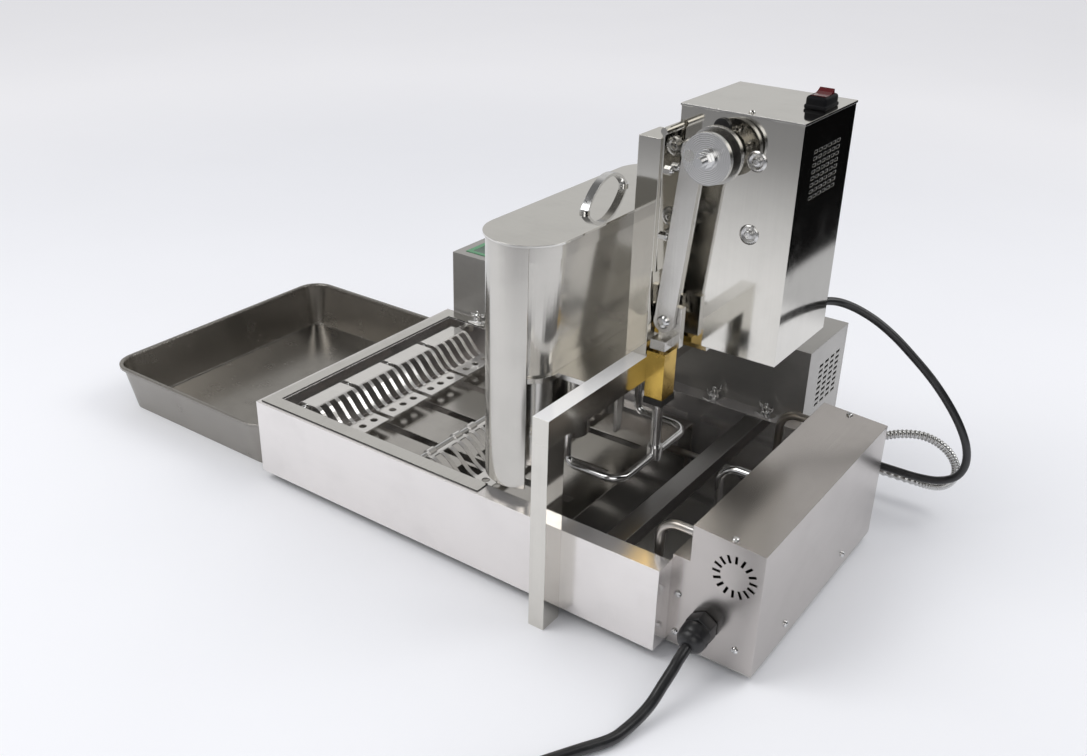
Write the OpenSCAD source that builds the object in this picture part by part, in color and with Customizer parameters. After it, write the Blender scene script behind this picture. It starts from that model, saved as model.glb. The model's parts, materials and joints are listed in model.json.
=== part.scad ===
// Bench-top ring doughnut fryer: oil tank with four lanes, batter hopper with crank-driven
// cutters, turning and outlet scoops, plug-in heater head, control box and collecting tray.
// Millimetres, +Z up, origin under the middle of the machine at floor level.

/* [Oil tank] */
// Length of the tank along the lanes
tank_l = 600; // [560:5:700]
// Width of the tank across the lanes
tank_w = 385; // [375:1:400]
// Height of the tank's walls
tank_h = 103; // [100:1:112]
// Sheet thickness of the tank and the boxes
sheet_t = 1.2; // [0.8:0.1:2]
// Height of the rubber feet
foot_h = 13; // [10:1:16]
// Radius of the rubber feet
foot_r = 10; // [6:1:14]
// Width of the inward flange round the tank's top
flange_w = 24; // [20:1:26]

/* [Deck and lanes] */
// Length of the deck frame that lies on the flange
deck_l = 360; // [350:1:420]
// Thickness of the deck frame
deck_t = 1.5; // [1:0.1:2.5]
// Width of the deck frame's border at the outlet
deck_border = 22; // [20:1:32]
// Length of the opening in the deck frame
deck_open_l = 308; // [290:1:312]
// Number of lanes
lanes = 4; // [2:1:4]
// Distance between lanes
lane_pitch = 78; // [74:1:79]
// Height of the lane floor above the tank's floor
lane_floor_h = 56; // [50:1:60]
// Width of the slots between the lanes
lane_slot_w = 13; // [5:1:16]
// Distance of the cross bar from the outlet end
cross_bar_x = 520; // [512:1:526]
// Width of the cross bar
cross_bar_w = 23; // [18:1:26]

/* [Scoops] */
// Distance of the outlet scoop shaft from the outlet end
outlet_x = 48; // [46:1:56]
// Distance of the turning scoop shaft from the outlet end
turn_x = 251; // [240:1:254]
// Depth of the scoop shafts below the tank's rim
shaft_drop = 10; // [9:1:14]
// Diameter of the scoop shafts
shaft_d = 8; // [6:0.5:10]
// Sheet thickness of the scoops
scoop_t = 1.5; // [1:0.1:2]
// Width of one scoop
scoop_w = 70; // [60:1:72]
// Reach of a scoop from its shaft
scoop_l = 80; // [74:1:84]
// Depth that a scoop drops below its strip
scoop_drop = 27; // [20:1:30]
// Slots between the fingers of one scoop
finger_slots = 4; // [3:1:6]

/* [Heater head] */
// Depth of the heater box along the lanes
heater_l = 101; // [96:1:120]
// Width of the heater box across the tank
heater_w = 332; // [320:1:350]
// Height of the heater box's top
heater_top = 166; // [160:1:175]
// Height of the heater box's rubber feet
heater_foot_h = 10; // [8:1:12]
// Diameter of the heating tubes
heater_tube_d = 10; // [8:0.5:12]
// Height of the heating tubes above the tank's floor
heater_tube_h = 31; // [24:1:36]

/* [Gantry] */
// Side of the gantry tubes along the lanes
tube_x = 20; // [18:1:22]
// Side of the gantry tubes across the lanes
tube_y = 30; // [26:1:34]
// Wall of the gantry tubes
tube_t = 1.5; // [1:0.1:3]
// Distance of the gantry from the outlet end
gantry_x = 459; // [459:1:462]
// Height of the gantry beam's top
beam_top = 262; // [258:1:268]
// Height of the column that stands on the beam
column_h = 246; // [236:1:250]

/* [Hopper] */
// Middle of the hopper from the outlet end
hopper_x = 384; // [383:1:386]
// Height of the hopper's lid above the beam
hopper_h = 154; // [140:1:170]
// Radius of the lid's round ends
lid_r = 50; // [49:0.5:54]
// Radius of the hopper's round ends at its rim
hopper_r = 45.8; // [42:0.1:46.5]
// Radius of the hopper's round ends at its foot
hopper_foot_r = 36; // [32:0.5:38]
// Height of the straight collar at the hopper's foot
collar_h = 13; // [8:1:20]
// Height of the shield's lower edge above the floor
shield_low = 128; // [124:1:136]
// Outside radius of the batter nozzles
nozzle_r = 22; // [18:0.5:23]
// Wall of the nozzles and cutter sleeves
nozzle_t = 2; // [1.5:0.1:3]

/* [Drive] */
// Width of the drive box along the lanes
drive_l = 137; // [130:1:150]
// Depth of the drive box across the lanes
drive_w = 135; // [125:1:145]
// Height of the drive box
drive_h = 265; // [258:1:275]
// Crank radius, half of the cutters' stroke
crank_r = 20; // [14:1:20]
// Radius of the crank's front disc
crank_disc_r = 27; // [26:0.5:30]
// Width of the connecting rod
rod_w = 24; // [18:1:24]
// Thickness of the connecting rod
rod_t = 6; // [4:0.5:7]
// Diameter of the slider rod
slider_d = 12; // [10:0.5:14]
// Diameter of the yoke's bar
yoke_d = 9.5; // [7:0.5:11]
// Height of the brass guide block
guide_h = 57; // [50:1:60]

/* [Control box] */
// Length of the control box
control_l = 574; // [560:1:580]
// Depth of the control box
control_w = 121; // [112:1:130]
// Height of the control box's top
control_top = 212; // [205:1:220]

/* [Collecting tray] */
// Length of the tray along the lanes
tray_l = 319; // [280:1:330]
// Width of the tray
tray_w = 407; // [360:1:420]
// Height of the tray
tray_h = 70; // [55:1:80]
// Slope of the tray's walls
tray_draft = 14; // [8:1:24]

/* [Cords] */
// Diameter of the power cord
cord_d = 12; // [10:0.5:12]
// Diameter of the drive box's cable
cable_d = 10; // [8:0.5:10]
// Diameter of the ribbed conduit over its ribs
conduit_d = 11.5; // [10:0.5:12]
// Turns in the power cord's coil
coil_turns = 3.5; // [2.5:1:5.5]

/* [Hidden] */
$fn = 64;

// Clearances: running fit, loose gap between separate bodies, and a seat's play
fit = 0.05;
gap = 0.5;
play = 0.3;

// Heights of the tank
tank_z0 = foot_h;
tank_z1 = tank_z0 + tank_h;
flange_t = sheet_t;
deck_z1 = tank_z1 + deck_t;
deck_in = 5;
lane_z = tank_z0 + lane_floor_h;
lane_t = 1.5;
mid_y = tank_w / 2;
lane_ys = [for (i = [0 : lanes - 1]) mid_y + (i - (lanes - 1) / 2) * lane_pitch];

// Scoop shafts
shaft_r = shaft_d / 2;
shaft_z = tank_z1 - shaft_drop;
bearing_t = 10;
bearing_w = shaft_d + 10;
bearing_in = 8;
knuckle_r = shaft_r + 2;
strip_l = 17;
strip_back = 6;
plate_l = 28;
rear_l = 20;
rear_drop = 16;
finger_w = 5.6;
scoop_motor_r = 28;
scoop_motor_l = 60;
scoop_motor_plate = 4;
sprocket_r = 20;
sprocket_t = 5;
sprocket_y = tank_w + 8;
shaft_end = sprocket_y + sprocket_t + 3;
shaft_near = bearing_in - 4;

// Heater head
heater_x0 = tank_l;
heater_x1 = heater_x0 + heater_l;
heater_step = 20;
heater_step_z = tank_z1 + 6;
heater_y0 = (tank_w - heater_w) / 2 + 1;
heater_y1 = heater_y0 + heater_w;
heater_base_t = 1.5;
heater_z0 = heater_foot_h;
heater_slope = 5;
tube_r = heater_tube_d / 2;
tube_arch_z = heater_top - 16;
tube_arch_r = 22;
tube_drop_x = tank_l - tube_arch_r - 1;
tube_run_z = tank_z0 + heater_tube_h;
tube_turn_r = 24;
tube_ys = [40, tank_w - 50];
tube_far_x = 70;
probe_y = 175;
probe_r = 4.8;
vent_x = heater_x1 - 31;
vent_z = heater_top - 42;
vent_slots = 16;
screw_h = 3;

// Power cord's gland on the heater box
gland_x = heater_x0 + 43;
gland_z = 52;
gland_hex_r = 17;
gland_hex_l = 16;
gland_dome_r = 14;
gland_nose_r = 9;

// Gantry
gantry_x1 = gantry_x + tube_x;
leg_y0 = -tube_y;
beam_z0 = beam_top - tube_y;
column_x0 = gantry_x - 8;
column_w = 26;
column_y0 = 161;
column_d = 43;
column_top = beam_top + column_h;
bracket_t = 3;
bracket_x0 = column_x0 + column_w;
bracket_low = 100;
bracket_y0 = column_y0 + 3;
bracket_y1 = column_y0 + column_d - 4;

// Control box
control_x0 = 12;
control_x1 = control_x0 + control_l;
control_y0 = tank_w;
control_y1 = control_y0 + control_w;
control_foot = 8;
post_y0 = control_y0 + 20;
beam_y1 = post_y0 + tube_y;
panel_in = 14;
panel_l = 190;
panel_t = 0.8;

// Hopper
half_run = 127;
shelf_t = 6;
shelf_z0 = beam_top - shelf_t;
lid_top = beam_top + hopper_h;
lid_t = 1.5;
lid_skirt = 2.5;
hopper_top = lid_top - lid_t;
rim_h = 18;
shield_top = hopper_top - 1;
shield_r = hopper_r + play + sheet_t;
handle_l = 122;
handle_h = 28;
handle_w = 9;
handle_t = 3.5;

// Nozzles and cutters
nozzle_low = 150;
sleeve_gap = 0.5;
sleeve_r = nozzle_r + sleeve_gap + nozzle_t;
sleeve_low = 140;
sleeve_h = 50;
carriage_z = 178;
carriage_t = 5;
collar_t = 4;
collar_r = sleeve_r + 3;
carriage_r = collar_r + 2;

// Drive box
drive_x0 = gantry_x + 16;
drive_x1 = drive_x0 + drive_l;
drive_y0 = column_y0 + column_d;
drive_y1 = drive_y0 + drive_w;
saddle_t = 10;
drive_z0 = beam_top + saddle_t;
drive_z1 = drive_z0 + drive_h;
drive_lid_t = 1.5;
drive_lid_lip = 2.5;
drive_wall_top = drive_z1 - drive_lid_t;

// Crank and slider
slider_x = gantry_x1 + 12;
slider_y = 173.5;
slider_r = slider_d / 2;
crank_x = drive_x0 + 55;
crank_z = drive_z1 - 41;
pin_x = crank_x - crank_r;
pin_r = 6;
eye_z = 304;
eye_r = rod_w / 2 + 0.5;
big_eye_r = 14;
rod_y0 = slider_y - rod_t / 2;
rod_y1 = slider_y + rod_t / 2;
rod_tilt = atan2(pin_x - slider_x, crank_z - eye_z);
rod_l = norm([pin_x - slider_x, crank_z - eye_z]);
disc_t = 6;
disc_y1 = rod_y0 - 3;
disc_y0 = disc_y1 - disc_t;
web_y0 = rod_y1 + 3;
web_t = 6;
web_y1 = web_y0 + web_t;
hub_y1 = web_y1 + 12;
hub_r = 20;
motor_shaft_r = 7.5;
motor_pitch = 78;
motor_half = motor_pitch / 2 + 6;
motor_r = 34;
gear_case_d = 52;
motor_x = drive_x0 + 52;
motor_z = drive_z1 - 85;
motor_hole_r = 3;
sensor_r = 9;
sensor_x = crank_x - 6;
sensor_z = drive_z1 - 17;
guide_x1 = gantry_x1 + 23;
guide_y0 = slider_y - 13.5;
guide_y1 = slider_y + 13.5;
guide_z1 = beam_top + 8;
guide_z0 = guide_z1 - guide_h;
seal_t = 8;
block_z0 = guide_z1 + 4;
block_top = eye_z - eye_r - 6;
cheek_y0 = rod_y1 + 1;
yoke_r = yoke_d / 2;
yoke_z = 134;
yoke_half = 78.5;
yoke_x0 = 420;
yoke_turn = 20;
rise_turn = 12;
acorn_r = 7;

// Rocker switch on the drive box
switch_x = drive_x1 - 17;
switch_y = drive_y0 + 79;
bezel_x = 24;
bezel_y = 36;
bezel_h = 13;
rocker_x = 16;
rocker_y = 26;
rocker_rest = 10;
rocker_pin_r = 1.5;
rocker_z = drive_z1 + bezel_h - 3;

// Collecting tray
tray_x1 = -5;
tray_x0 = tray_x1 - tray_l;
tray_shift = 21;
tray_y0 = mid_y + tray_shift - tray_w / 2;
tray_t = 1.2;
tray_corner = 18;
tray_rim = 4;

// Origin under the middle of the machine
origin_x = (tray_x0 - tray_rim + heater_x1 + screw_h) / 2;
origin_y = (leg_y0 + control_y1) / 2;

// Cord routes: points chosen along each cord's middle line
cord_r = cord_d / 2;
coil_lift = 1.2;
cable_r = cable_d / 2;
conduit_r = conduit_d / 2;
cable_fit_l = 15;
cable_fit_r = 9;
cable_out = [drive_x0 + 115, drive_z0 + 14];
cable_in = [control_y0 + 53, 60];
conduit_out = [heater_x0 + 55, 100];
conduit_in = [control_y0 + 87, 33];

// A route's two ends with its inner bends, which are drawn along where an end moves
function drawn(bends, first, last) = let (n = len(bends) - 1) [for (i = [0 : n])
    bends[i] + (first - bends[0]) * (1 - i / n) + (last - bends[n]) * i / n];
cable_route = drawn([[590, 354, 286], [590, 366, 286], [591.7, 377.8, 285.8], [596.8, 388.6, 284.8],
    [605, 397.6, 282.8], [616, 404.2, 279.4], [631, 409, 273.8], [651, 413.5, 264],
    [674, 418, 248.5], [698, 422.5, 228], [723, 427, 204.5], [746, 431, 178], [765.5, 434, 150],
    [778, 437, 122], [780.5, 438.5, 97], [772, 439.5, 77], [753, 439.8, 64.8], [728, 439.2, 60.4],
    [700, 438.4, 60], [660, 438, 60], [601, 438, 60]],
    [cable_out[0], drive_y1 + cable_fit_l, cable_out[1]],
    [control_x1 + cable_fit_l, cable_in[0], cable_in[1]]);
conduit_route = drawn([[655, 374.5, 100], [655, 385, 100.1], [657, 396, 101], [663, 408, 103.5],
    [672.5, 419.5, 107], [685, 430.5, 110.8], [701, 442, 113], [719, 452.3, 112],
    [736, 460.5, 105.5], [750, 467, 94.5], [760, 471, 81], [764.5, 473.5, 66.5],
    [762.4, 474.5, 52.2], [755.8, 475, 42], [746.3, 475, 35.6], [734.5, 474.8, 33],
    [716, 474, 32.8], [680, 472.4, 33], [640, 472, 33], [601, 472, 33]],
    [conduit_out[0], heater_y1 + cable_fit_l, conduit_out[1]],
    [control_x1 + cable_fit_l, conduit_in[0], conduit_in[1]]);
cord_bends = [[0, -52.5, 41], [0, -65.5, 35], [-1, -81.5, 27], [-2, -99.5, 18], [-4, -117.5, 13],
    [-8, -137.5, 9], [-14, -157.5, cord_r + coil_lift], [-34, -191.5, cord_r + coil_lift]];
cord_drop = [for (p = cord_bends) p + [gland_x, heater_y0, 0]];
coil_pitch = cord_d + 0.8;
coil_middle = [gland_x - 20, heater_y0 - 328.5];
coil_r = 80.5;
coil_from = 150;
coil_rings = 24;
coil_lead = 50;
coil_dir = [-sin(coil_from), cos(coil_from), 0];
coil_entry = [coil_middle[0] + coil_r * cos(coil_from), coil_middle[1] + coil_r * sin(coil_from),
    cord_r + coil_lift];
cord_route = concat(cord_drop, [coil_entry - 36 * coil_dir, coil_entry - cord_d * coil_dir]);
gland_tilt = atan2(cord_drop[0][2] - cord_drop[1][2], cord_drop[0][1] - cord_drop[1][1]);
coil_steps = coil_turns * coil_rings;
coil_points = [for (i = [0 : coil_steps]) coil_point(i / coil_rings)];
coil_end_a = coil_from + 360 * coil_turns;
coil_end_dir = [-sin(coil_end_a), cos(coil_end_a), 0];
coil_path = concat([coil_entry - cord_d * coil_dir], coil_points,
    [for (k = [0.25, 1]) coil_points[coil_steps] + k * coil_lead * coil_end_dir]);
plug_r = cord_r + coil_lift + coil_pitch;

// Height and radius of the coil after t turns: in on the lower layer, out on the upper one
function smooth(t) = t <= 0 ? 0 : t >= 1 ? 1 : t * t * (3 - 2 * t);
function coil_rad(t) = coil_r - coil_pitch * (coil_turns / 2 - abs(t - coil_turns / 2));
function coil_rise(t) = coil_pitch * smooth(2 * (t - coil_turns / 2) + 0.5);
function coil_point(t) = [
    coil_middle[0] + coil_rad(t) * cos(coil_from + 360 * t),
    coil_middle[1] + coil_rad(t) * sin(coil_from + 360 * t),
    cord_r + coil_lift + coil_rise(t)];
coil_gap = min([for (i = [0 : coil_steps]) for (j = [i + coil_rings / 2 : coil_steps])
    norm(coil_points[i] - coil_points[j])]) - cord_d;
echo(least_gap_between_coil_turns = coil_gap);

// Tubes swept along a route: a smooth curve through its points, and rings carried along it
function unit(v) = v / norm(v);
function curve(a, b, c, d, t) = 0.5 * (2 * b + (c - a) * t + (2 * a - 5 * b + 4 * c - d) * t * t
    + (3 * b - a - 3 * c + d) * t * t * t);
function at(p, i) = p[max(0, min(len(p) - 1, i))];
function smooth_route(p, n) = concat(
    [for (i = [0 : len(p) - 2]) for (k = [0 : n - 1])
        curve(at(p, i - 1), p[i], p[i + 1], at(p, i + 2), k / n)],
    [p[len(p) - 1]]);
function headings(p) = [for (i = [0 : len(p) - 1])
    i == 0 ? unit(p[1] - p[0]) : i == len(p) - 1 ? unit(p[i] - p[i - 1])
    : unit(unit(p[i + 1] - p[i]) + unit(p[i] - p[i - 1]))];
function square_to(n, t) = unit(n - (n * t) * t);
function carried(t, n0) = [for (i = 0, n = square_to(n0, t[0]); i < len(t);
    i = i + 1, n = i < len(t) ? square_to(n, t[i]) : n) n];
function ring(p, t, n, r, sides) = let (b = cross(t, n))
    [for (k = [0 : sides - 1]) p + r * (cos(360 * k / sides) * n + sin(360 * k / sides) * b)];
function rings(p, radii, sides, n0) = let (t = headings(p), n = carried(t, n0))
    [for (i = [0 : len(p) - 1]) ring(p[i], t[i], n[i], radii[i], sides)];
function flat(l) = [for (a = l) for (b = a) b];
function walls(count, sides, base) = flat([for (i = [0 : count - 2]) for (k = [0 : sides - 1])
    let (a = base + i * sides + k, b = base + i * sides + (k + 1) % sides)
    [[a, a + sides, b], [b, a + sides, b + sides]]]);
function turned(faces) = [for (f = faces) [f[2], f[1], f[0]]];
function fan(base, sides) = [for (k = [1 : sides - 2]) [base, base + k, base + k + 1]];
function band(a, b, sides) = flat([for (k = [0 : sides - 1])
    [[a + k, a + (k + 1) % sides, b + k], [b + k, a + (k + 1) % sides, b + (k + 1) % sides]]]);

// A solid tube along the points p
module tube_along(p, r, sides, n0 = [0, 0, 1]) {
    last = (len(p) - 1) * sides;
    polyhedron(flat(rings(p, [for (i = p) r], sides, n0)),
        concat(walls(len(p), sides, 0), fan(0, sides), turned(fan(last, sides))));
}

// A ribbed tube with a bore along the points p: every other ring stands out
module ribbed_along(p, r, valley, bore, sides, n0 = [0, 0, 1]) {
    count = len(p);
    outer = flat(rings(p, [for (i = [0 : count - 1]) i % 2 == 0 ? valley : r], sides, n0));
    inner = flat(rings(p, [for (i = p) bore], sides, n0));
    base = count * sides;
    last = (count - 1) * sides;
    polyhedron(concat(outer, inner), concat(walls(count, sides, 0), turned(walls(count, sides, base)),
        band(0, base, sides), turned(band(last, base + last, sides))));
}

// Shared shapes
module part(tint) {
    color(tint) translate([-origin_x, -origin_y, 0]) children();
}

module slab(lo, hi) {
    translate(lo) cube(hi - lo);
}

module along_x(x0, x1, y, z, r) {
    translate([x0, y, z]) rotate([0, 90, 0]) cylinder(r = r, h = x1 - x0);
}

module along_y(y0, y1, x, z, r) {
    translate([x, y0, z]) rotate([-90, 0, 0]) cylinder(r = r, h = y1 - y0);
}

module along_z(z0, z1, x, y, r) {
    translate([x, y, z0]) cylinder(r = r, h = z1 - z0);
}

// A profile drawn in X and Z, thickened along Y
module profile_y(y0, y1) {
    translate([0, y1, 0]) rotate([90, 0, 0]) linear_extrude(y1 - y0) children();
}

// A quarter or half bend of round bar in the XZ plane
module bend_xz(x, y, z, turn, r, from, sweep) {
    translate([x, y, z]) rotate([90, 0, 0]) rotate([0, 0, from])
        rotate_extrude(angle = sweep) translate([turn, 0]) circle(r);
}

// A bend of round bar in the XY plane
module bend_xy(x, y, z, turn, r, from, sweep) {
    translate([x, y, z]) rotate([0, 0, from]) rotate_extrude(angle = sweep) translate([turn, 0]) circle(r);
}

// The hopper's outline in plan: a straight run with round ends
module oblong(r, run) {
    translate([hopper_x - r, mid_y - run]) square([2 * r, 2 * run]);
    for (s = [-1, 1]) translate([hopper_x, mid_y + s * run]) circle(r);
}

module oblong_plate(r, run, z0, z1) {
    translate([0, 0, z0]) linear_extrude(z1 - z0) oblong(r, run);
}

// A pan-headed screw along -Y, -X or +Z, from its seat
module screw_head(r, h) {
    rotate_extrude() polygon([[0, 0], [r, 0], [r, h * 0.4], [r * 0.75, h * 0.85], [r * 0.35, h], [0, h]]);
}

// A domed nut from its seat upwards
module acorn(r, h) {
    cylinder(r = r, h = h * 0.55, $fn = 6);
    translate([0, 0, h * 0.55]) rotate_extrude() intersection() {
        scale((h * 0.45) / (r * 0.8)) circle(r * 0.8);
        square(2 * h);
    }
}

// Oil tank
module oil_tank() part("gainsboro") {
    difference() {
        slab([0, 0, tank_z0], [tank_l, tank_w, tank_z1]);
        slab([sheet_t, sheet_t, tank_z0 + sheet_t], [tank_l - sheet_t, tank_w - sheet_t, tank_z1 - flange_t]);
        slab([flange_w, flange_w, tank_z0 + sheet_t], [tank_l - sheet_t, tank_w - flange_w, tank_z1 + 1]);
        for (x = [outlet_x, turn_x]) along_y(tank_w - sheet_t - 1, tank_w + 1, x, shaft_z, shaft_r + 1);
    }
}

module tank_feet() part("black") {
    for (x = [40, tank_l / 2, tank_l - 40]) for (y = [40, tank_w - 40])
        along_z(0, foot_h, x, y, foot_r);
}

// Deck frame round the lanes
module deck_frame() part("silver") {
    difference() {
        slab([deck_in, deck_in, tank_z1], [deck_l, tank_w - deck_in, deck_z1]);
        slab([deck_border, flange_w, tank_z1 - 1],
            [deck_border + deck_open_l, tank_w - flange_w, deck_z1 + 1]);
        slab([deck_border + deck_open_l - 1, flange_w, tank_z1 - 1],
            [deck_l + 1, tank_w - flange_w, deck_z1 + 1]);
    }
}

// Slotted floor of the lanes, on bent legs
module lane_plate() part("lightgray") {
    lane_x0 = outlet_x + scoop_l - 38;
    lane_x1 = 440;
    slot_x0 = lane_x0 + 12;
    window = scoop_w - 16;
    edge = 12;
    slot_in = 18;
    leg_w = 20;
    between = [for (i = [1 : lanes - 1]) mid_y + (i - lanes / 2) * lane_pitch - lane_slot_w / 2];
    beside = [edge + slot_in, tank_w - edge - slot_in - lane_slot_w];
    difference() {
        slab([lane_x0, edge, lane_z], [lane_x1, tank_w - edge, lane_z + lane_t]);
        for (y = concat(between, beside)) slab([slot_x0, y, lane_z - 1],
            [lane_x1 - 24, y + lane_slot_w, lane_z + lane_t + 1]);
        for (y = lane_ys) slab([turn_x + 10, y - window / 2, lane_z - 1],
            [turn_x + scoop_l - plate_l - 2, y + window / 2, lane_z + lane_t + 1]);
    }
    for (x = [lane_x0 + 10, (lane_x0 + lane_x1) / 2, lane_x1 - leg_w])
        for (y = [edge, tank_w - edge - lane_t])
            slab([x, y, tank_z0 + sheet_t], [x + leg_w, y + lane_t, lane_z]);
}

// Angle across the tank, under the flanges
module cross_bar() part("darkgray") {
    z1 = tank_z1 - flange_t;
    profile_y(sheet_t, tank_w - sheet_t) polygon([
        [cross_bar_x, z1 - 1.5], [cross_bar_x + cross_bar_w - 1.5, z1 - 1.5],
        [cross_bar_x + cross_bar_w - 1.5, z1 - 18], [cross_bar_x + cross_bar_w, z1 - 18],
        [cross_bar_x + cross_bar_w, z1], [cross_bar_x, z1]]);
}

// Bearing blocks hung under the flanges
module shaft_bearings() part("gray") {
    for (x = [outlet_x, turn_x]) for (y = [bearing_in, tank_w - bearing_in - bearing_t]) difference() {
        slab([x - bearing_w / 2, y, shaft_z - bearing_w / 2],
            [x + bearing_w / 2, y + bearing_t, tank_z1 - flange_t]);
        along_y(y - 1, y + bearing_t + 1, x, shaft_z, shaft_r + fit);
    }
}

// Scoops: strip, curved fingers and a pierced plate, on knuckles round the shaft.
// The outlet's have a flat strip over the shaft with fingers behind it, the turning ones start beside it.
function dip(k) = (1 - cos(15 * k)) / 2;
function strip_end(back) = back ? strip_l : knuckle_r + 2;
function scoop_line(x, back, lift) = let (top = shaft_z + lift + (back ? knuckle_r : scoop_t)) concat(
    back ? [for (k = [12 : -1 : 1]) [x - strip_back - rear_l * k / 12, top - rear_drop * dip(k)]] : [],
    [[back ? x - strip_back : x, top], [x + strip_end(back), top]],
    [for (k = [1 : 12]) [x + strip_end(back) + (scoop_l - strip_end(back) - plate_l) * k / 12,
        top - scoop_drop * dip(k)]],
    [[x + scoop_l, top - scoop_drop]]);
function backwards(l) = [for (i = [len(l) - 1 : -1 : 0]) l[i]];

module scoop(x, y, back) {
    slot_w = (scoop_w - (finger_slots + 1) * finger_w) / finger_slots;
    low = shaft_z - scoop_drop - 2 * scoop_t;
    difference() {
        profile_y(y - scoop_w / 2, y + scoop_w / 2)
            polygon(concat(scoop_line(x, back, 0), backwards(scoop_line(x, back, -scoop_t))));
        for (i = [0 : finger_slots - 1]) {
            slot_y = y - scoop_w / 2 + finger_w + i * (slot_w + finger_w);
            slab([x + strip_end(back) + 2, slot_y, low],
                [x + scoop_l - plate_l, slot_y + slot_w, tank_z1 + 9]);
            slab([x - strip_back - rear_l - 1, slot_y, low],
                [x - strip_back - 2, slot_y + slot_w, tank_z1 + 9]);
        }
        for (i = [-1, 0, 1]) along_z(low, tank_z1, x + scoop_l - plate_l / 2, y + i * scoop_w * 0.3, 5);
        along_y(y - scoop_w / 2 - 1, y + scoop_w / 2 + 1, x, shaft_z, shaft_r + fit);
    }
    difference() {
        for (s = [-0.35, 0.35])
            along_y(y + s * scoop_w - 6, y + s * scoop_w + 6, x, shaft_z, knuckle_r);
        along_y(y - scoop_w, y + scoop_w, x, shaft_z, shaft_r + fit);
    }
}

module scoop_shaft(x) {
    along_y(shaft_near, shaft_end, x, shaft_z, shaft_r);
    along_y(sprocket_y, sprocket_y + sprocket_t, x, shaft_z, sprocket_r);
}

module outlet_shaft() part("silver") scoop_shaft(outlet_x);

module outlet_scoops() part("whitesmoke") for (y = lane_ys) scoop(outlet_x, y, true);

module turn_shaft() part("silver") scoop_shaft(turn_x);

module turn_scoops() part("whitesmoke") for (y = lane_ys) scoop(turn_x, y, false);

// Chain round the two shafts' sprockets, inside the control box
module chain_outline(r) {
    for (x = [outlet_x, turn_x]) translate([x, shaft_z]) circle(r);
    translate([outlet_x, shaft_z - r]) square([turn_x - outlet_x, 2 * r]);
}

module drive_chain() part("dimgray") {
    chain_t = 3;
    profile_y(sprocket_y + 0.5, sprocket_y + sprocket_t - 0.5) difference() {
        chain_outline(sprocket_r + play + chain_t);
        chain_outline(sprocket_r + play);
    }
}

// Geared motor of the scoops: a bracketed body behind the turning scoops' sprocket
module scoop_motor() part("dimgray") {
    y0 = shaft_end + play;
    y1 = y0 + scoop_motor_plate;
    slab([turn_x - scoop_motor_r - 2, y0, control_foot + sheet_t],
        [turn_x + scoop_motor_r + 2, y1, shaft_z + scoop_motor_r + 2]);
    along_y(y1, y0 + scoop_motor_l, turn_x, shaft_z, scoop_motor_r);
}

// Heating tubes: one U that arches over the end wall, and the thermostat's probe
module arch(y, r, low) {
    along_x(tube_drop_x + tube_arch_r, heater_x0 + heater_step + 20, y, tube_arch_z, r);
    bend_xz(tube_drop_x + tube_arch_r, y, tube_arch_z - tube_arch_r, tube_arch_r, r, 90, 90);
    along_z(low, tube_arch_z - tube_arch_r, tube_drop_x, y, r);
}

module heating_element() part("slategray") {
    for (y = tube_ys) {
        arch(y, tube_r, tube_run_z + tube_turn_r);
        bend_xz(tube_drop_x - tube_turn_r, y, tube_run_z + tube_turn_r, tube_turn_r, tube_r, 270, 90);
        along_x(tube_far_x + tube_turn_r, tube_drop_x - tube_turn_r, y, tube_run_z, tube_r);
    }
    bend_xy(tube_far_x + tube_turn_r, tube_ys[0] + tube_turn_r, tube_run_z, tube_turn_r, tube_r, 180, 90);
    bend_xy(tube_far_x + tube_turn_r, tube_ys[1] - tube_turn_r, tube_run_z, tube_turn_r, tube_r, 90, 90);
    along_y(tube_ys[0] + tube_turn_r, tube_ys[1] - tube_turn_r, tube_far_x, tube_run_z, tube_r);
    for (x = [tube_far_x + 120, tube_drop_x - 120]) for (y = tube_ys)
        slab([x - 4, y - 4, tank_z0 + sheet_t], [x + 4, y + 4, tube_run_z]);
}

module probe_sheath() part("lightgray") arch(probe_y, probe_r, tube_run_z);

// Heater box: folded cover on a base plate
function heater_outline(t, low) = [
    [heater_x0 + t, low], [heater_x1 - t, low], [heater_x1 - t, heater_top - heater_slope - t],
    [heater_x0 + heater_step + t, heater_top - t], [heater_x0 + heater_step + t, heater_step_z - t],
    [heater_x0 + t, heater_step_z - t]];

module heater_box() part("lightgray") {
    z0 = heater_z0 + heater_base_t;
    wall_x = heater_x0 + heater_step;
    difference() {
        profile_y(heater_y0, heater_y1) polygon(heater_outline(0, z0));
        profile_y(heater_y0 + sheet_t, heater_y1 - sheet_t) polygon(heater_outline(sheet_t, z0 - 1));
        for (i = [0 : vent_slots - 1]) translate([vent_x, heater_y0 - 1, vent_z])
            rotate([0, 360 * i / vent_slots, 0]) slab([16, 0, -1.5], [25, sheet_t + 2, 1.5]);
        for (y = tube_ys) along_x(wall_x - 1, wall_x + 3, y, tube_arch_z, tube_r + play);
        along_x(wall_x - 1, wall_x + 3, probe_y, tube_arch_z, probe_r + play);
    }
}

module heater_base() part("gray")
    slab([heater_x0, heater_y0, heater_z0], [heater_x1, heater_y1, heater_z0 + heater_base_t]);

module heater_feet() part("black") {
    for (x = [heater_x0 + 18, heater_x1 - 18]) for (y = [heater_y0 + 25, heater_y1 - 25])
        along_z(0, heater_foot_h, x, y, foot_r);
}

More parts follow.
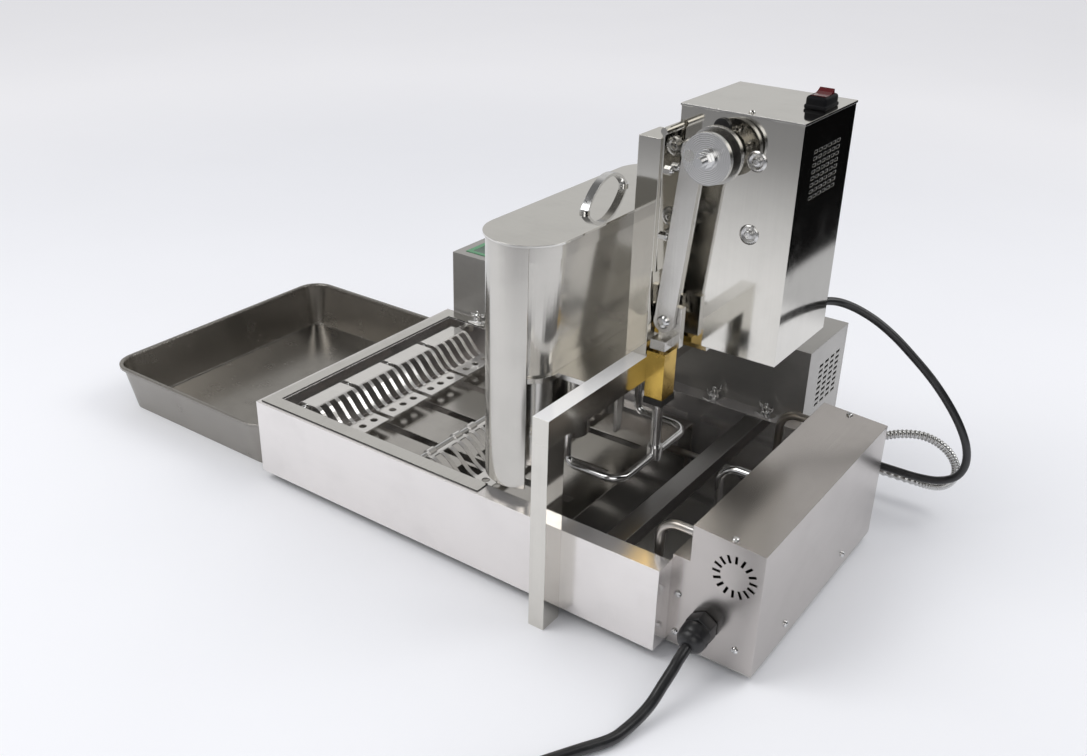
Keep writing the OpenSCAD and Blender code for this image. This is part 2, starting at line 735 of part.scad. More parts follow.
module heater_screws() part("silver") {
    front = [[heater_x0 + 10, heater_step_z - 46], [heater_x0 + 10, heater_z0 + 16],
        [heater_x1 - 21, heater_z0 + 26]];
    for (p = front)
        translate([p[0], heater_y0, p[1]]) rotate([90, 0, 0]) screw_head(4, screw_h);
    for (y = [heater_y0 + 80, heater_y1 - 93])
        translate([heater_x1, y, heater_z0 + 19]) rotate([0, 90, 0]) screw_head(4, screw_h);
}

// Terminals of the heating tubes, on the heater box's base
module terminal_block() part("ivory") {
    z0 = heater_z0 + heater_base_t;
    slab([heater_x1 - 50, mid_y - 60, z0], [heater_x1 - 20, mid_y + 60, z0 + 26]);
    for (i = [0 : 5]) along_z(z0 + 26, z0 + 32, heater_x1 - 35, mid_y - 50 + 20 * i, 4);
}

// Hexagonal gland with a nose that droops with the cord
module cord_gland() part("black") {
    nose_base = [gland_x, heater_y0 - gland_hex_l, gland_z];
    nose_l = norm(cord_drop[0] - nose_base);
    translate([gland_x, heater_y0, gland_z]) rotate([90, 0, 0])
        cylinder(r = gland_hex_r, h = gland_hex_l, $fn = 6);
    translate(nose_base) rotate([90, 0, 0]) cylinder(r = gland_dome_r, h = 3);
    translate(cord_drop[0]) rotate([90 + gland_tilt, 0, 0]) translate([0, 0, -nose_l - 2])
        cylinder(r1 = gland_dome_r, r2 = gland_nose_r, h = nose_l + 2);
}

// Gantry of square tube
module square_tube(lo, hi, axis) {
    long = [for (i = [0 : 2]) i == axis ? 1 : 0];
    wall = [for (i = [0 : 2]) i == axis ? -1 : tube_t];
    difference() {
        slab(lo, hi);
        slab(lo + wall, hi - wall);
    }
}

module gantry_leg() part("gainsboro")
    square_tube([gantry_x, leg_y0, 0], [gantry_x1, 0, beam_z0], 2);

// Beam with a welded cap on its near end
module gantry_beam() part("gainsboro")
    difference() {
        slab([gantry_x, leg_y0, beam_z0], [gantry_x1, beam_y1, beam_top]);
        slab([gantry_x + tube_t, leg_y0 + tube_t, beam_z0 + tube_t],
            [gantry_x1 - tube_t, beam_y1 + 1, beam_top - tube_t]);
    }

module gantry_post() part("gainsboro")
    square_tube([gantry_x, post_y0, control_top], [gantry_x1, beam_y1, beam_z0], 2);

module column() part("gainsboro") {
    square_tube([column_x0, column_y0, beam_top], [bracket_x0, column_y0 + column_d, column_top - 2], 2);
    slab([column_x0, column_y0, column_top - 2], [bracket_x0, column_y0 + column_d, column_top]);
}

// Side plate between column and drive box, with a rolled top edge
module side_bracket() part("dimgray") {
    slab([bracket_x0, bracket_y0, beam_top + bracket_low],
        [bracket_x0 + bracket_t, bracket_y1, column_top + 4]);
    along_y(bracket_y0, bracket_y1, bracket_x0 + bracket_t / 2, column_top + 7, 4);
}

module bracket_bolts() part("silver") {
    for (z = [column_top - 36, column_top - 108]) for (y = [bracket_y0 + 12, bracket_y0 + 28])
        translate([bracket_x0 + bracket_t, y, z]) rotate([0, 90, 0]) acorn(5, 7);
}

// Plate on the beam under the drive box
module box_saddle() part("gray")
    slab([gantry_x, drive_y0 + 10, beam_top], [drive_x0 + 50, drive_y1 - 10, drive_z0]);

// Shelf of the hopper, bolted to the beam
module hopper_shelf() part("silver") {
    difference() {
        union() {
            oblong_plate(hopper_foot_r + 4, half_run, shelf_z0, beam_top);
            slab([hopper_x, mid_y - half_run, shelf_z0], [gantry_x, mid_y + half_run, beam_top]);
        }
        for (y = lane_ys) along_z(shelf_z0 - 1, beam_top + 1, hopper_x, y, nozzle_r + fit);
    }
    slab([gantry_x - 7, mid_y - 52, sleeve_low + 25], [gantry_x - 3, mid_y - 40, shelf_z0]);
}

module hopper_body() part("gainsboro") {
    rim_z = hopper_top - rim_h;
    foot_z = beam_top + collar_h;
    difference() {
        union() {
            oblong_plate(hopper_r, half_run, rim_z, hopper_top);
            oblong_plate(hopper_foot_r, half_run, beam_top, foot_z);
        }
        oblong_plate(hopper_r - sheet_t, half_run, rim_z - 1, hopper_top + 1);
        oblong_plate(hopper_foot_r - sheet_t, half_run, beam_top - 1, foot_z + 1);
    }
    difference() {
        funnel(hopper_r, hopper_foot_r, foot_z, rim_z);
        funnel(hopper_r - sheet_t, hopper_foot_r - sheet_t, foot_z - 0.01, rim_z + 0.01);
    }
}

// The hopper's walls, drawn in from its rim to its foot
module funnel(r_top, r_low, z0, z1) {
    hull() for (s = [-1, 1]) translate([hopper_x, mid_y + s * half_run, z0])
        cylinder(r1 = r_low, r2 = r_top, h = z1 - z0, $fn = 64);
}

// Curved splash shield round the outlet side, from the rim down to the oil
module hopper_shield() part("gainsboro") {
    far = 400;
    translate([0, 0, shield_low]) linear_extrude(shield_top - shield_low) difference() {
        oblong(shield_r, half_run);
        oblong(shield_r - sheet_t, half_run);
        translate([hopper_x + 26, -1]) square([far, far]);
        translate([hopper_x, mid_y]) square([far, far]);
    }
}

module hopper_lid() part("silver") {
    difference() {
        oblong_plate(lid_r, half_run, lid_top - lid_skirt, lid_top);
        oblong_plate(lid_r - sheet_t, half_run, lid_top - lid_skirt - 1, hopper_top);
    }
}

// Bail handle on the lid: two posts and a bowed grip
module lid_handle() part("silver") {
    half = handle_l / 2;
    bow = (half * half + handle_h * handle_h) / (2 * handle_h);
    sweep = 2 * asin(half / bow);
    translate([hopper_x + 3, mid_y + 11, lid_top]) rotate([0, 0, 10]) {
        difference() {
            translate([0, 0, handle_h - bow]) rotate([90, 0, 90]) rotate([0, 0, 90 - sweep / 2])
                rotate_extrude(angle = sweep)
                    translate([bow - handle_t, -handle_w / 2]) square([handle_t, handle_w]);
            translate([-20, -handle_l, -40]) cube([40, 2 * handle_l, 42]);
        }
        for (s = [-1, 1]) translate([0, s * (half - 4), 0]) cylinder(r = 6, h = 3);
    }
}

// Fixed nozzles under the shelf and the cutters that slide on them
module nozzles() part("gray") {
    for (y = lane_ys) difference() {
        along_z(nozzle_low, beam_top, hopper_x, y, nozzle_r);
        along_z(nozzle_low - 1, beam_top + 1, hopper_x, y, nozzle_r - nozzle_t);
    }
}

module cutter_sleeves() part("gray") {
    for (y = lane_ys) difference() {
        union() {
            along_z(sleeve_low, sleeve_low + sleeve_h, hopper_x, y, sleeve_r);
            along_z(carriage_z + carriage_t, carriage_z + carriage_t + collar_t, hopper_x, y, collar_r);
        }
        along_z(sleeve_low - 1, sleeve_low + sleeve_h + 1, hopper_x, y, nozzle_r + sleeve_gap);
    }
}

module cutter_carriage() part("gray") {
    run = (lanes - 1) / 2 * lane_pitch;
    difference() {
        union() {
            oblong_plate(carriage_r, run, carriage_z, carriage_z + carriage_t);
            for (s = [-1, 1]) slab([hopper_x, slider_y + s * yoke_half - 10, carriage_z],
                [yoke_x0 + 10, slider_y + s * yoke_half + 10, carriage_z + carriage_t]);
        }
        for (y = lane_ys) along_z(carriage_z - 1, carriage_z + carriage_t + 1, hopper_x, y, sleeve_r + fit);
    }
}

// Drive box: open-topped shell and its lid
module drive_box() part("gainsboro") {
    difference() {
        slab([drive_x0, drive_y0, drive_z0], [drive_x1, drive_y1, drive_wall_top]);
        slab([drive_x0 + sheet_t, drive_y0 + sheet_t, drive_z0 + sheet_t],
            [drive_x1 - sheet_t, drive_y1 - sheet_t, drive_z1]);
        along_y(drive_y0 - 1, drive_y0 + sheet_t + 1, crank_x, crank_z, motor_shaft_r + 2);
        for (p = motor_corners())
            along_y(drive_y0 - 1, drive_y0 + sheet_t + 1, p[0], p[1], motor_hole_r + play);
        along_y(drive_y0 - 1, drive_y0 + sheet_t + 1, sensor_x, sensor_z, sensor_r - 3);
        for (i = [0 : 7]) for (j = [0 : 5]) slab(
            [drive_x1 - sheet_t - 1, drive_y0 + 34 + 12 * j, drive_z1 - 86 + 7 * i],
            [drive_x1 + 1, drive_y0 + 42 + 12 * j, drive_z1 - 83 + 7 * i]);
    }
}

module drive_box_lid() part("silver") {
    lip = 1;
    difference() {
        slab([drive_x0 - lip, drive_y0 - lip, drive_z1 - drive_lid_lip],
            [drive_x1 + lip, drive_y1 + lip, drive_z1]);
        slab([drive_x0, drive_y0, drive_z1 - drive_lid_lip - 1], [drive_x1, drive_y1, drive_wall_top]);
    }
    translate([crank_x + 21, drive_y0 + 8, drive_z1]) screw_head(3.5, 3);
}

function motor_corners() = [for (i = [-1, 1]) for (j = [-1, 1])
    [motor_x + i * motor_pitch / 2, motor_z + j * motor_pitch / 2]];

// Geared motor behind the drive box's front wall
module gear_motor() part("dimgray") {
    y0 = drive_y0 + sheet_t;
    difference() {
        slab([motor_x - motor_half, y0, motor_z - motor_half - 1],
            [motor_x + motor_half, y0 + gear_case_d, drive_wall_top - 6]);
        for (p = motor_corners()) along_y(y0 - 1, y0 + 20, p[0], p[1], motor_hole_r + play);
        along_y(y0 - 1, y0 + 16, crank_x, crank_z, motor_shaft_r + fit);
        along_y(y0 - 1, y0 + 12, sensor_x, sensor_z, sensor_r - 3);
    }
    along_y(y0 + gear_case_d, drive_y1 - 12, motor_x, motor_z, motor_r);
}

// Motor screws in dished washers
module motor_screws() part("silver") {
    for (p = motor_corners()) translate([p[0], drive_y0, p[1]]) rotate([90, 0, 0]) {
        rotate_extrude() polygon([[0, 0], [11, 0], [11, 0.6], [8, 2], [5.5, 1.2], [0, 1.2]]);
        translate([0, 0, 1.2]) screw_head(5, 2.5);
        translate([0, 0, -sheet_t - 16]) cylinder(r = motor_hole_r, h = sheet_t + 16);
    }
}

// Position switch beside the crank
module position_sensor() part("black") {
    along_y(drive_y0 - 3, drive_y0, sensor_x, sensor_z, sensor_r);
    along_y(drive_y0, drive_y0 + 8, sensor_x, sensor_z, sensor_r - 3.5);
}

// Crank: hub with web and pin on the motor's shaft, and the front disc
module crank_hub() part("dimgray") {
    along_y(web_y1, hub_y1, crank_x, crank_z, hub_r);
    along_y(web_y0, web_y1, crank_x, crank_z, crank_disc_r + 3);
    along_y(disc_y0, web_y0, pin_x, crank_z, pin_r);
    along_y(hub_y1, drive_y0 + sheet_t + 14, crank_x, crank_z, motor_shaft_r);
    for (a = [20, 75]) translate([crank_x, hub_y1 - 6, crank_z]) rotate([0, -a, 0])
        translate([hub_r - 2, 0, 0]) rotate([0, 90, 0]) cylinder(r = 3.5, h = 6);
}

module crank_disc() part("silver") {
    difference() {
        along_y(disc_y0, disc_y1, crank_x, crank_z, crank_disc_r);
        along_y(disc_y0 - 1, disc_y1 + 1, pin_x, crank_z, pin_r + fit);
    }
}

// Washer, nut and stud in the middle of the front disc
module disc_nut() part("silver") {
    along_y(disc_y0 - 3, disc_y0, crank_x, crank_z, 11);
    translate([crank_x, disc_y0 - 3, crank_z]) rotate([90, 0, 0]) cylinder(r = 8.5, h = 7, $fn = 6);
    along_y(disc_y0 - 18, disc_y0 - 10, crank_x, crank_z, 5);
}

// Connecting rod: flat bar with a round eye at each end
module con_rod() part("silver") {
    difference() {
        union() {
            along_y(rod_y0, rod_y1, pin_x, crank_z, big_eye_r);
            along_y(rod_y0, rod_y1, slider_x, eye_z, eye_r);
            translate([slider_x, rod_y0, eye_z]) rotate([0, rod_tilt, 0])
                translate([-rod_w / 2, 0, 0]) cube([rod_w, rod_t, rod_l]);
        }
        along_y(rod_y0 - 1, rod_y1 + 1, pin_x, crank_z, pin_r + fit);
        along_y(rod_y0 - 1, rod_y1 + 1, slider_x, eye_z, 5 + fit);
    }
}

module rod_eye_bolt() part("dimgray") {
    along_y(rod_y0, rod_y1 + gap, slider_x, eye_z, 5);
    translate([slider_x, rod_y0, eye_z]) rotate([90, 0, 0]) screw_head(7.5, 4);
}

// Crosshead: block on the slider rod with a cheek and two horns behind the rod's eye
module crosshead() part("dimgray") {
    x0 = slider_x - 9;
    x1 = slider_x + 18;
    difference() {
        slab([x0, guide_y0, block_z0], [x1 - 8, cheek_y0 + 9, block_top]);
        along_z(block_z0 - 1, block_top + 1, slider_x, slider_y, slider_r + fit);
    }
    slab([x0, cheek_y0, block_top], [x1 - 8, cheek_y0 + 9, eye_z - 4]);
    slab([x1 - 8, cheek_y0, block_z0], [x1, cheek_y0 + 9, eye_z + 18]);
    slab([x0, cheek_y0, eye_z - 4], [x0 + 4, cheek_y0 + 9, eye_z + 14]);
}

module slider_rod() part("silver")
    along_z(yoke_z, block_top, slider_x, slider_y, slider_r);

// Brass guide on the gantry beam, with a wiper under it
module guide_block() part("goldenrod") {
    difference() {
        union() {
            slab([gantry_x1, guide_y0, guide_z0], [guide_x1, guide_y1, guide_z1]);
            slab([gantry_x1, guide_y0 - 1, guide_z0 - seal_t], [guide_x1 + 1, guide_y1 + 1, guide_z0]);
        }
        along_z(guide_z0 - seal_t - 1, guide_z1 + 1, slider_x, slider_y, slider_r + fit);
    }
}

// Yoke of bent bar from the slider rod to the cutter carriage
module yoke() part("silver") {
    base_half = yoke_half - yoke_turn;
    difference() {
        union() {
            along_y(slider_y - base_half, slider_y + base_half, slider_x, yoke_z, yoke_r);
            along_z(yoke_z - yoke_r, yoke_z + 12, slider_x, slider_y, slider_r + 3);
        }
        along_z(yoke_z, yoke_z + 13, slider_x, slider_y, slider_r + fit);
    }
    for (s = [-1, 1]) {
        bend_xy(slider_x - yoke_turn, slider_y + s * base_half, yoke_z, yoke_turn, yoke_r,
            s > 0 ? 0 : 270, 90);
        along_x(yoke_x0 + rise_turn, slider_x - yoke_turn, slider_y + s * yoke_half, yoke_z, yoke_r);
        bend_xz(yoke_x0 + rise_turn, slider_y + s * yoke_half, yoke_z + rise_turn, rise_turn, yoke_r,
            180, 90);
        along_z(yoke_z + rise_turn, carriage_z, yoke_x0, slider_y + s * yoke_half, yoke_r);
        translate([yoke_x0, slider_y + s * yoke_half, carriage_z + carriage_t]) acorn(acorn_r, 11);
    }
}

// Rocker switch in a sealed bezel on the drive box's lid
module switch_bezel() part("black") {
    difference() {
        union() {
            slab([switch_x - bezel_x / 2, switch_y - bezel_y / 2, drive_z1],
                [switch_x + bezel_x / 2, switch_y + bezel_y / 2, drive_z1 + 5]);
            slab([switch_x - bezel_x / 2 + 2, switch_y - bezel_y / 2 + 2, drive_z1 + 5],
                [switch_x + bezel_x / 2 - 2, switch_y + bezel_y / 2 - 2, drive_z1 + bezel_h]);
        }
        slab([switch_x - rocker_x / 2 - gap, switch_y - rocker_y / 2 - 1, drive_z1 + 2],
            [switch_x + rocker_x / 2 + gap, switch_y + rocker_y / 2 + 1, drive_z1 + bezel_h + 1]);
        along_x(switch_x - rocker_x / 2 - 2, switch_x + rocker_x / 2 + 2, switch_y, rocker_z,
            rocker_pin_r + fit);
    }
}

module switch_rocker() part("firebrick") {
    half = rocker_y / 2 - 1;
    translate([switch_x, switch_y, rocker_z]) rotate([rocker_rest, 0, 0]) {
        rotate([90, 0, 90]) translate([0, 0, -rocker_x / 2]) linear_extrude(rocker_x)
            polygon([[-half, -1], [-half, 6], [-half / 2, 4], [0, 3.2], [half / 2, 4], [half, 6],
                [half, -1], [0, -4]]);
        along_x(-rocker_x / 2 - 1.5, rocker_x / 2 + 1.5, 0, 0, rocker_pin_r);
    }
}

// Control box with its feet, and the panel on its top
module control_box() part("silver") {
    slots = 8;
    difference() {
        slab([control_x0, control_y0, control_foot], [control_x1, control_y1, control_top]);
        slab([control_x0 + sheet_t, control_y0 + sheet_t, control_foot + sheet_t],
            [control_x1 - sheet_t, control_y1 - sheet_t, control_top - sheet_t]);
        for (x = [outlet_x, turn_x])
            along_y(control_y0 - 1, control_y0 + sheet_t + 1, x, shaft_z, shaft_r + 1);
        for (i = [0 : slots - 1]) for (j = [0 : 3]) slab(
            [control_x1 - sheet_t - 1, control_y0 + 36 + 18 * j, control_top - 90 + 8 * i],
            [control_x1 + 1, control_y0 + 48 + 18 * j, control_top - 86 + 8 * i]);
    }
    for (x = [control_x0 + 40, control_x1 - 40]) for (y = [control_y0 + 22, control_y1 - 22])
        along_z(0, control_foot, x, y, foot_r);
}

module control_panel() part("darkgreen")
    slab([control_x0 + panel_in, control_y0 + panel_in, control_top],
        [control_x0 + panel_in + panel_l, control_y1 - panel_in, control_top + panel_t]);

// Pressed collecting tray with a rolled rim
module tray_level(grow, z, thick) {
    in = tray_corner + tray_draft;
    for (x = [tray_x0 + in, tray_x1 - in]) for (y = [tray_y0 + in, tray_y0 + tray_w - in])
        translate([x, y, z]) cylinder(r = tray_corner + grow, h = thick, $fn = 32);
}

module collecting_tray() part("darkgray") {
    difference() {
        hull() {
            tray_level(0, 0, 0.1);
            tray_level(tray_draft, tray_h - 1, 1);
        }
        hull() {
            tray_level(-tray_t, tray_t, 0.1);
            tray_level(tray_draft - tray_t, tray_h, 1);
        }
    }
    difference() {
        hull() tray_level(tray_draft + tray_rim, tray_h - 4, 4);
        hull() tray_level(tray_draft - tray_t, tray_h - 5, 6);
    }
}

// Screwed fittings where the cable and the conduit enter the boxes
module cable_fittings() part("black") {
    for (p = [cable_in, conduit_in]) along_x(control_x1, control_x1 + cable_fit_l, p[0], p[1], cable_fit_r);
    along_y(drive_y1, drive_y1 + cable_fit_l, cable_out[0], cable_out[1], cable_fit_r);
    along_y(heater_y1, heater_y1 + cable_fit_l, conduit_out[0], conduit_out[1], cable_fit_r);
}

// Cords
module drive_cable() part("black") tube_along(smooth_route(cable_route, 2), cable_r, 10, [0, 0, 1]);

module conduit_hose() part("silver")
    ribbed_along(smooth_route(conduit_route, 8), conduit_r, conduit_r - 1.2, conduit_r - 2.6, 8, [0, 0, 1]);

module cord_run() part("black") tube_along(cord_route, cord_r, 10, [1, 0, 0]);

module cord_coil() part("black") tube_along(coil_path, cord_r, 6, [0, 0, 1]);

// Round plug with two pins, on the coil's end
module cord_plug() part("black") {
    translate(coil_path[len(coil_path) - 1]) rotate([0, 0, coil_end_a + 90]) rotate([0, 90, 0]) {
        rotate_extrude() polygon([[0, 0], [cord_r + 2, 0], [cord_r + 4, 14], [plug_r, 24], [plug_r, 44],
            [0, 44]]);
        for (s = [-1, 1]) translate([0, 9.5 * s, 44]) cylinder(r = 2.4, h = 19);
    }
}

oil_tank();
tank_feet();
deck_frame();
lane_plate();
cross_bar();
shaft_bearings();
outlet_shaft();
outlet_scoops();
turn_shaft();
turn_scoops();
drive_chain();
scoop_motor();
heating_element();
probe_sheath();
heater_box();
heater_base();
heater_feet();
heater_screws();
terminal_block();
cord_gland();
gantry_leg();
gantry_beam();
gantry_post();
column();
side_bracket();
bracket_bolts();
box_saddle();
hopper_shelf();
hopper_body();
hopper_shield();
hopper_lid();
lid_handle();
nozzles();
cutter_sleeves();
cutter_carriage();
drive_box();
drive_box_lid();
gear_motor();
motor_screws();
position_sensor();
crank_hub();
crank_disc();
disc_nut();
con_rod();
rod_eye_bolt();
crosshead();
slider_rod();
guide_block();
yoke();
switch_bezel();
switch_rocker();
control_box();
control_panel();
collecting_tray();
cable_fittings();
drive_cable();
conduit_hose();
cord_run();
cord_coil();
cord_plug();
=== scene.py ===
"""Looks of the bench-top doughnut machine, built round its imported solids.

The solids come in as a fixed frame. Each sub-assembly below is a class that holds its sizes,
builds the pieces that the solids only stand for, and dresses both with procedural finishes.
Sub-assemblies give millimetres from the tank's outlet corner, which place() moves to the frame.
Finishes and light give metres in the frame: +X from tray to heater head, +Y to the control box.
"""

import json
import logging
import math
from dataclasses import dataclass
from enum import Enum
from typing import Any, Callable, Optional, Sequence, Union

import bmesh
import bpy
from mathutils import Matrix, Vector

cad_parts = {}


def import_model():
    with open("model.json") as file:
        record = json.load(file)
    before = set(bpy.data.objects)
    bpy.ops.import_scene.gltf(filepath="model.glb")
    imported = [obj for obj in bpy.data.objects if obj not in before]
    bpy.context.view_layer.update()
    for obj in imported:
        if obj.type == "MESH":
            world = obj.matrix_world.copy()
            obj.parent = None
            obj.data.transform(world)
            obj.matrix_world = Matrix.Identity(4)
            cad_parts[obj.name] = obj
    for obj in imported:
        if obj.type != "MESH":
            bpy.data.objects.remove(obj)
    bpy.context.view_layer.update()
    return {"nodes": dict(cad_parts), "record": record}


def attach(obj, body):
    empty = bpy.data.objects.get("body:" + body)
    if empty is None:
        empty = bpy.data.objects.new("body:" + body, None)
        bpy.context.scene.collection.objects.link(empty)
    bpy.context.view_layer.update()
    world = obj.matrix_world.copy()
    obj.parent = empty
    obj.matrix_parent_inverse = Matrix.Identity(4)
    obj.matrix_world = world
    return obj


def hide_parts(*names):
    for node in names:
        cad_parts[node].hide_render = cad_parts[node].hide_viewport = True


LOG = logging.getLogger("doughnut_machine")
MM = 0.001
ORIGIN = (188.0, 238.0)
"""Where the frame's origin lies from the tank's outlet corner, in millimetres."""

Colour = tuple[float, float, float]
Point = tuple[float, float, float]
Pair = tuple[float, float]
Piece = bpy.types.Object
Key = Union[str, int]
Inputs = dict[Key, Any]
Rgba = tuple[float, float, float, float]


def place(x: float, y: float, z: float) -> Vector:
    """Moves a point from the tank's corner, in millimetres, to the frame, in metres.

    Args:
        x: Distance from the tank's outlet end.
        y: Distance from the tank's near side.
        z: Height above the floor.

    Returns:
        The point in the frame.
    """
    return Vector(((x - ORIGIN[0]) * MM, (y - ORIGIN[1]) * MM, z * MM))


class Axis(Enum):
    """The direction that a sheet was brushed or a bar was drawn in."""

    X = (1.0, 0.0, 0.0)
    Y = (0.0, 1.0, 0.0)
    Z = (0.0, 0.0, 1.0)

    def stretch(self, along: float, across: float) -> Point:
        """Gives a scale that is along in this direction and across in the others."""
        return tuple(along if part else across for part in self.value)


class Sock:
    """An output socket that takes part in Python arithmetic."""

    def __init__(self, graph: "Graph", socket: bpy.types.NodeSocket) -> None:
        """Keeps the graph that the socket belongs to, and the socket."""
        self.graph = graph
        self.socket = socket

    def _maths(self, operation: str, first: Any, second: Any, clamp: bool = False) -> "Sock":
        """Adds one Math node and returns its output."""
        node = self.graph.node("ShaderNodeMath", {"operation": operation, "use_clamp": clamp},
                               {0: first, 1: second})
        return Sock(self.graph, node.outputs[0])

    def __add__(self, other: Any) -> "Sock":
        """Adds a value."""
        return self._maths("ADD", self, other)

    __radd__ = __add__

    def __sub__(self, other: Any) -> "Sock":
        """Subtracts a value."""
        return self._maths("SUBTRACT", self, other)

    def __rsub__(self, other: Any) -> "Sock":
        """Is subtracted from a value."""
        return self._maths("SUBTRACT", other, self)

    def __mul__(self, other: Any) -> "Sock":
        """Multiplies by a value."""
        return self._maths("MULTIPLY", self, other)

    __rmul__ = __mul__

    def __gt__(self, other: Any) -> "Sock":
        """Is 1 where this is over a value."""
        return self._maths("GREATER_THAN", self, other)

    def clamped(self) -> "Sock":
        """Keeps the value between 0 and 1."""
        return self._maths("ADD", self, 0.0, clamp=True)

    def band(self, low: float, high: float) -> "Sock":
        """Rises smoothly from 0 to 1 between two values."""
        node = self.graph.node("ShaderNodeMapRange", {"interpolation_type": "SMOOTHSTEP"},
                               {"Value": self, "From Min": low, "From Max": high})
        return Sock(self.graph, node.outputs[0])


class Graph:
    """A material's or world's nodes, built by expressions."""

    def __init__(self, tree: bpy.types.NodeTree) -> None:
        """Starts an empty tree."""
        self.tree = tree
        tree.nodes.clear()

    def node(self, kind: str, settings: Optional[dict[str, Any]] = None,
             inputs: Optional[Inputs] = None) -> bpy.types.Node:
        """Adds a node.

        Args:
            kind: The node's type.
            settings: Its own settings, set first.
            inputs: A value or a link for each socket, by name or number.

        Returns:
            The new node.
        """
        node = self.tree.nodes.new(kind)
        for name, value in (settings or {}).items():
            setattr(node, name, value)
        for key, value in (inputs or {}).items():
            if isinstance(value, Sock):
                self.tree.links.new(value.socket, node.inputs[key])
            else:
                node.inputs[key].default_value = value
        return node

    def out(self, node: bpy.types.Node, name: Key = 0) -> Sock:
        """Wraps one of a node's outputs."""
        return Sock(self, node.outputs[name])

    def coords(self, scale: Point = (1.0, 1.0, 1.0)) -> Sock:
        """Gives the object's coordinates, scaled."""
        raw = self.out(self.node("ShaderNodeTexCoord"), "Object")
        return self.out(self.node("ShaderNodeMapping", None, {"Vector": raw, "Scale": scale}))

    def axes(self, vector: Sock) -> tuple[Sock, ...]:
        """Splits a vector into its three parts."""
        split = self.node("ShaderNodeSeparateXYZ", None, {0: vector})
        return tuple(self.out(split, k) for k in range(3))

    def upward(self) -> Sock:
        """Gives how far a face looks up, from -1 to 1."""
        return self.axes(self.out(self.node("ShaderNodeTexCoord"), "Normal"))[2]

    def noise(self, where: Sock, scale: float, detail: float = 3.0, rough: float = 0.5) -> Sock:
        """Gives a noise pattern from 0 to 1."""
        return self.out(self.node("ShaderNodeTexNoise", None,
                                  {"Vector": where, "Scale": scale, "Detail": detail, "Roughness": rough}))

    def mix(self, share: Any, first: Any, second: Any) -> Sock:
        """Mixes two colours."""
        node = self.node("ShaderNodeMix", {"data_type": "RGBA"}, {0: share, 6: first, 7: second})
        return self.out(node, 2)

    def ramp(self, value: Sock, stops: Sequence[tuple[float, Colour]]) -> Sock:
        """Colours a value by stops."""
        node = self.node("ShaderNodeValToRGB", None, {0: value})
        elements = node.color_ramp.elements
        while len(elements) < len(stops):
            elements.new(0.5)
        for element, (position, colour) in zip(elements, stops):
            element.position, element.color = position, rgba(colour)
        return self.out(node)

    def bump(self, height: Sock, strength: float, distance: float, under: Optional[Sock] = None) -> Sock:
        """Turns a height into a normal, over another one where it is given."""
        inputs: Inputs = {"Height": height, "Strength": strength, "Distance": distance}
        if under is not None:
            inputs["Normal"] = under
        return self.out(self.node("ShaderNodeBump", None, inputs))

    def rounded(self, radius: float) -> Sock:
        """Gives a normal that softens hard edges by a radius."""
        return self.out(self.node("ShaderNodeBevel", {"samples": 4}, {"Radius": radius}))


@dataclass(frozen=True)
class Finish:
    """What every finish has: a name and the parts of its surface shader."""

    name: str

    def surface(self, graph: Graph) -> Inputs:
        """Gives the shader's inputs by name."""
        raise NotImplementedError

    def material(self) -> bpy.types.Material:
        """Makes the material, once for each name."""
        title = f"finish_{self.name}"
        found = bpy.data.materials.get(title)
        if found:
            return found
        made = bpy.data.materials.new(title)
        made.use_nodes = True
        graph = Graph(made.node_tree)
        shader = graph.node("ShaderNodeBsdfPrincipled", None, self.surface(graph))
        graph.node("ShaderNodeOutputMaterial", None, {"Surface": graph.out(shader)})
        return made


def rgba(colour: Colour) -> Rgba:
    """Adds full opacity to a colour."""
    return (*colour, 1.0)


def shaded(colour: Colour, share: float) -> Rgba:
    """Darkens a colour to a share of itself."""
    return rgba(tuple(part * share for part in colour))


@dataclass(frozen=True)
class SheetSteel(Finish):
    """Stainless sheet, from hairline satin to mirror polish."""

    colour: Colour = (0.72, 0.72, 0.71)
    roughness: float = 0.22
    grain: Axis = Axis.X
    hairline: float = 0.08
    smudge: float = 0.06
    wave: float = 0.0
    edge: float = 0.0008
    metallic: float = 1.0

    def surface(self, graph: Graph) -> Inputs:
        """Gives hairlines along the grain, handling marks and a slow wave of the sheet."""
        lines = graph.noise(graph.coords(self.grain.stretch(6.0, 900.0)), 1.0, 4.0, 0.6)
        marks = graph.noise(graph.coords(), 22.0, 5.0, 0.62).band(0.42, 0.72)
        drift = graph.noise(graph.coords(), 5.0, 2.0)
        colour = graph.mix(lines * 0.5 + marks * 0.25, rgba(self.colour), shaded(self.colour, 0.82))
        rough = self.roughness + (lines - 0.5) * self.hairline + marks * self.smudge
        normal = graph.rounded(self.edge)
        if self.wave:
            normal = graph.bump(drift, self.wave, 0.004, normal)
        if self.hairline:
            normal = graph.bump(lines, 0.25 * self.hairline, 0.0004, normal)
        return {"Base Color": colour, "Metallic": self.metallic, "Roughness": rough.clamped(),
                "Normal": normal}


@dataclass(frozen=True)
class TankSheet(SheetSteel):
    """The tank's sheet: clean outside and on its rim, with painted shade on its inner faces."""

    low: Pair = (-0.186, -0.236)
    high: Point = (0.410, 0.145, 0.112)
    # Painted shade: the darker grey of the tank's inner faces.
    inner_shade: Colour = (0.30, 0.29, 0.275)

    def surface(self, graph: Graph) -> Inputs:
        """Gives the sheet's finish with painted shade on its inner faces."""
        parts = super().surface(graph)
        x, y, z = graph.axes(graph.coords())
        inside = (x > self.low[0]) * (y > self.low[1])
        for axis, limit in zip((x, y, z), self.high):
            inside = inside * (1 - (axis > limit))
        # Painted shade: the tank's inner faces take the darker grey.
        parts["Base Color"] = graph.mix(inside, parts["Base Color"], rgba(self.inner_shade))
        return parts


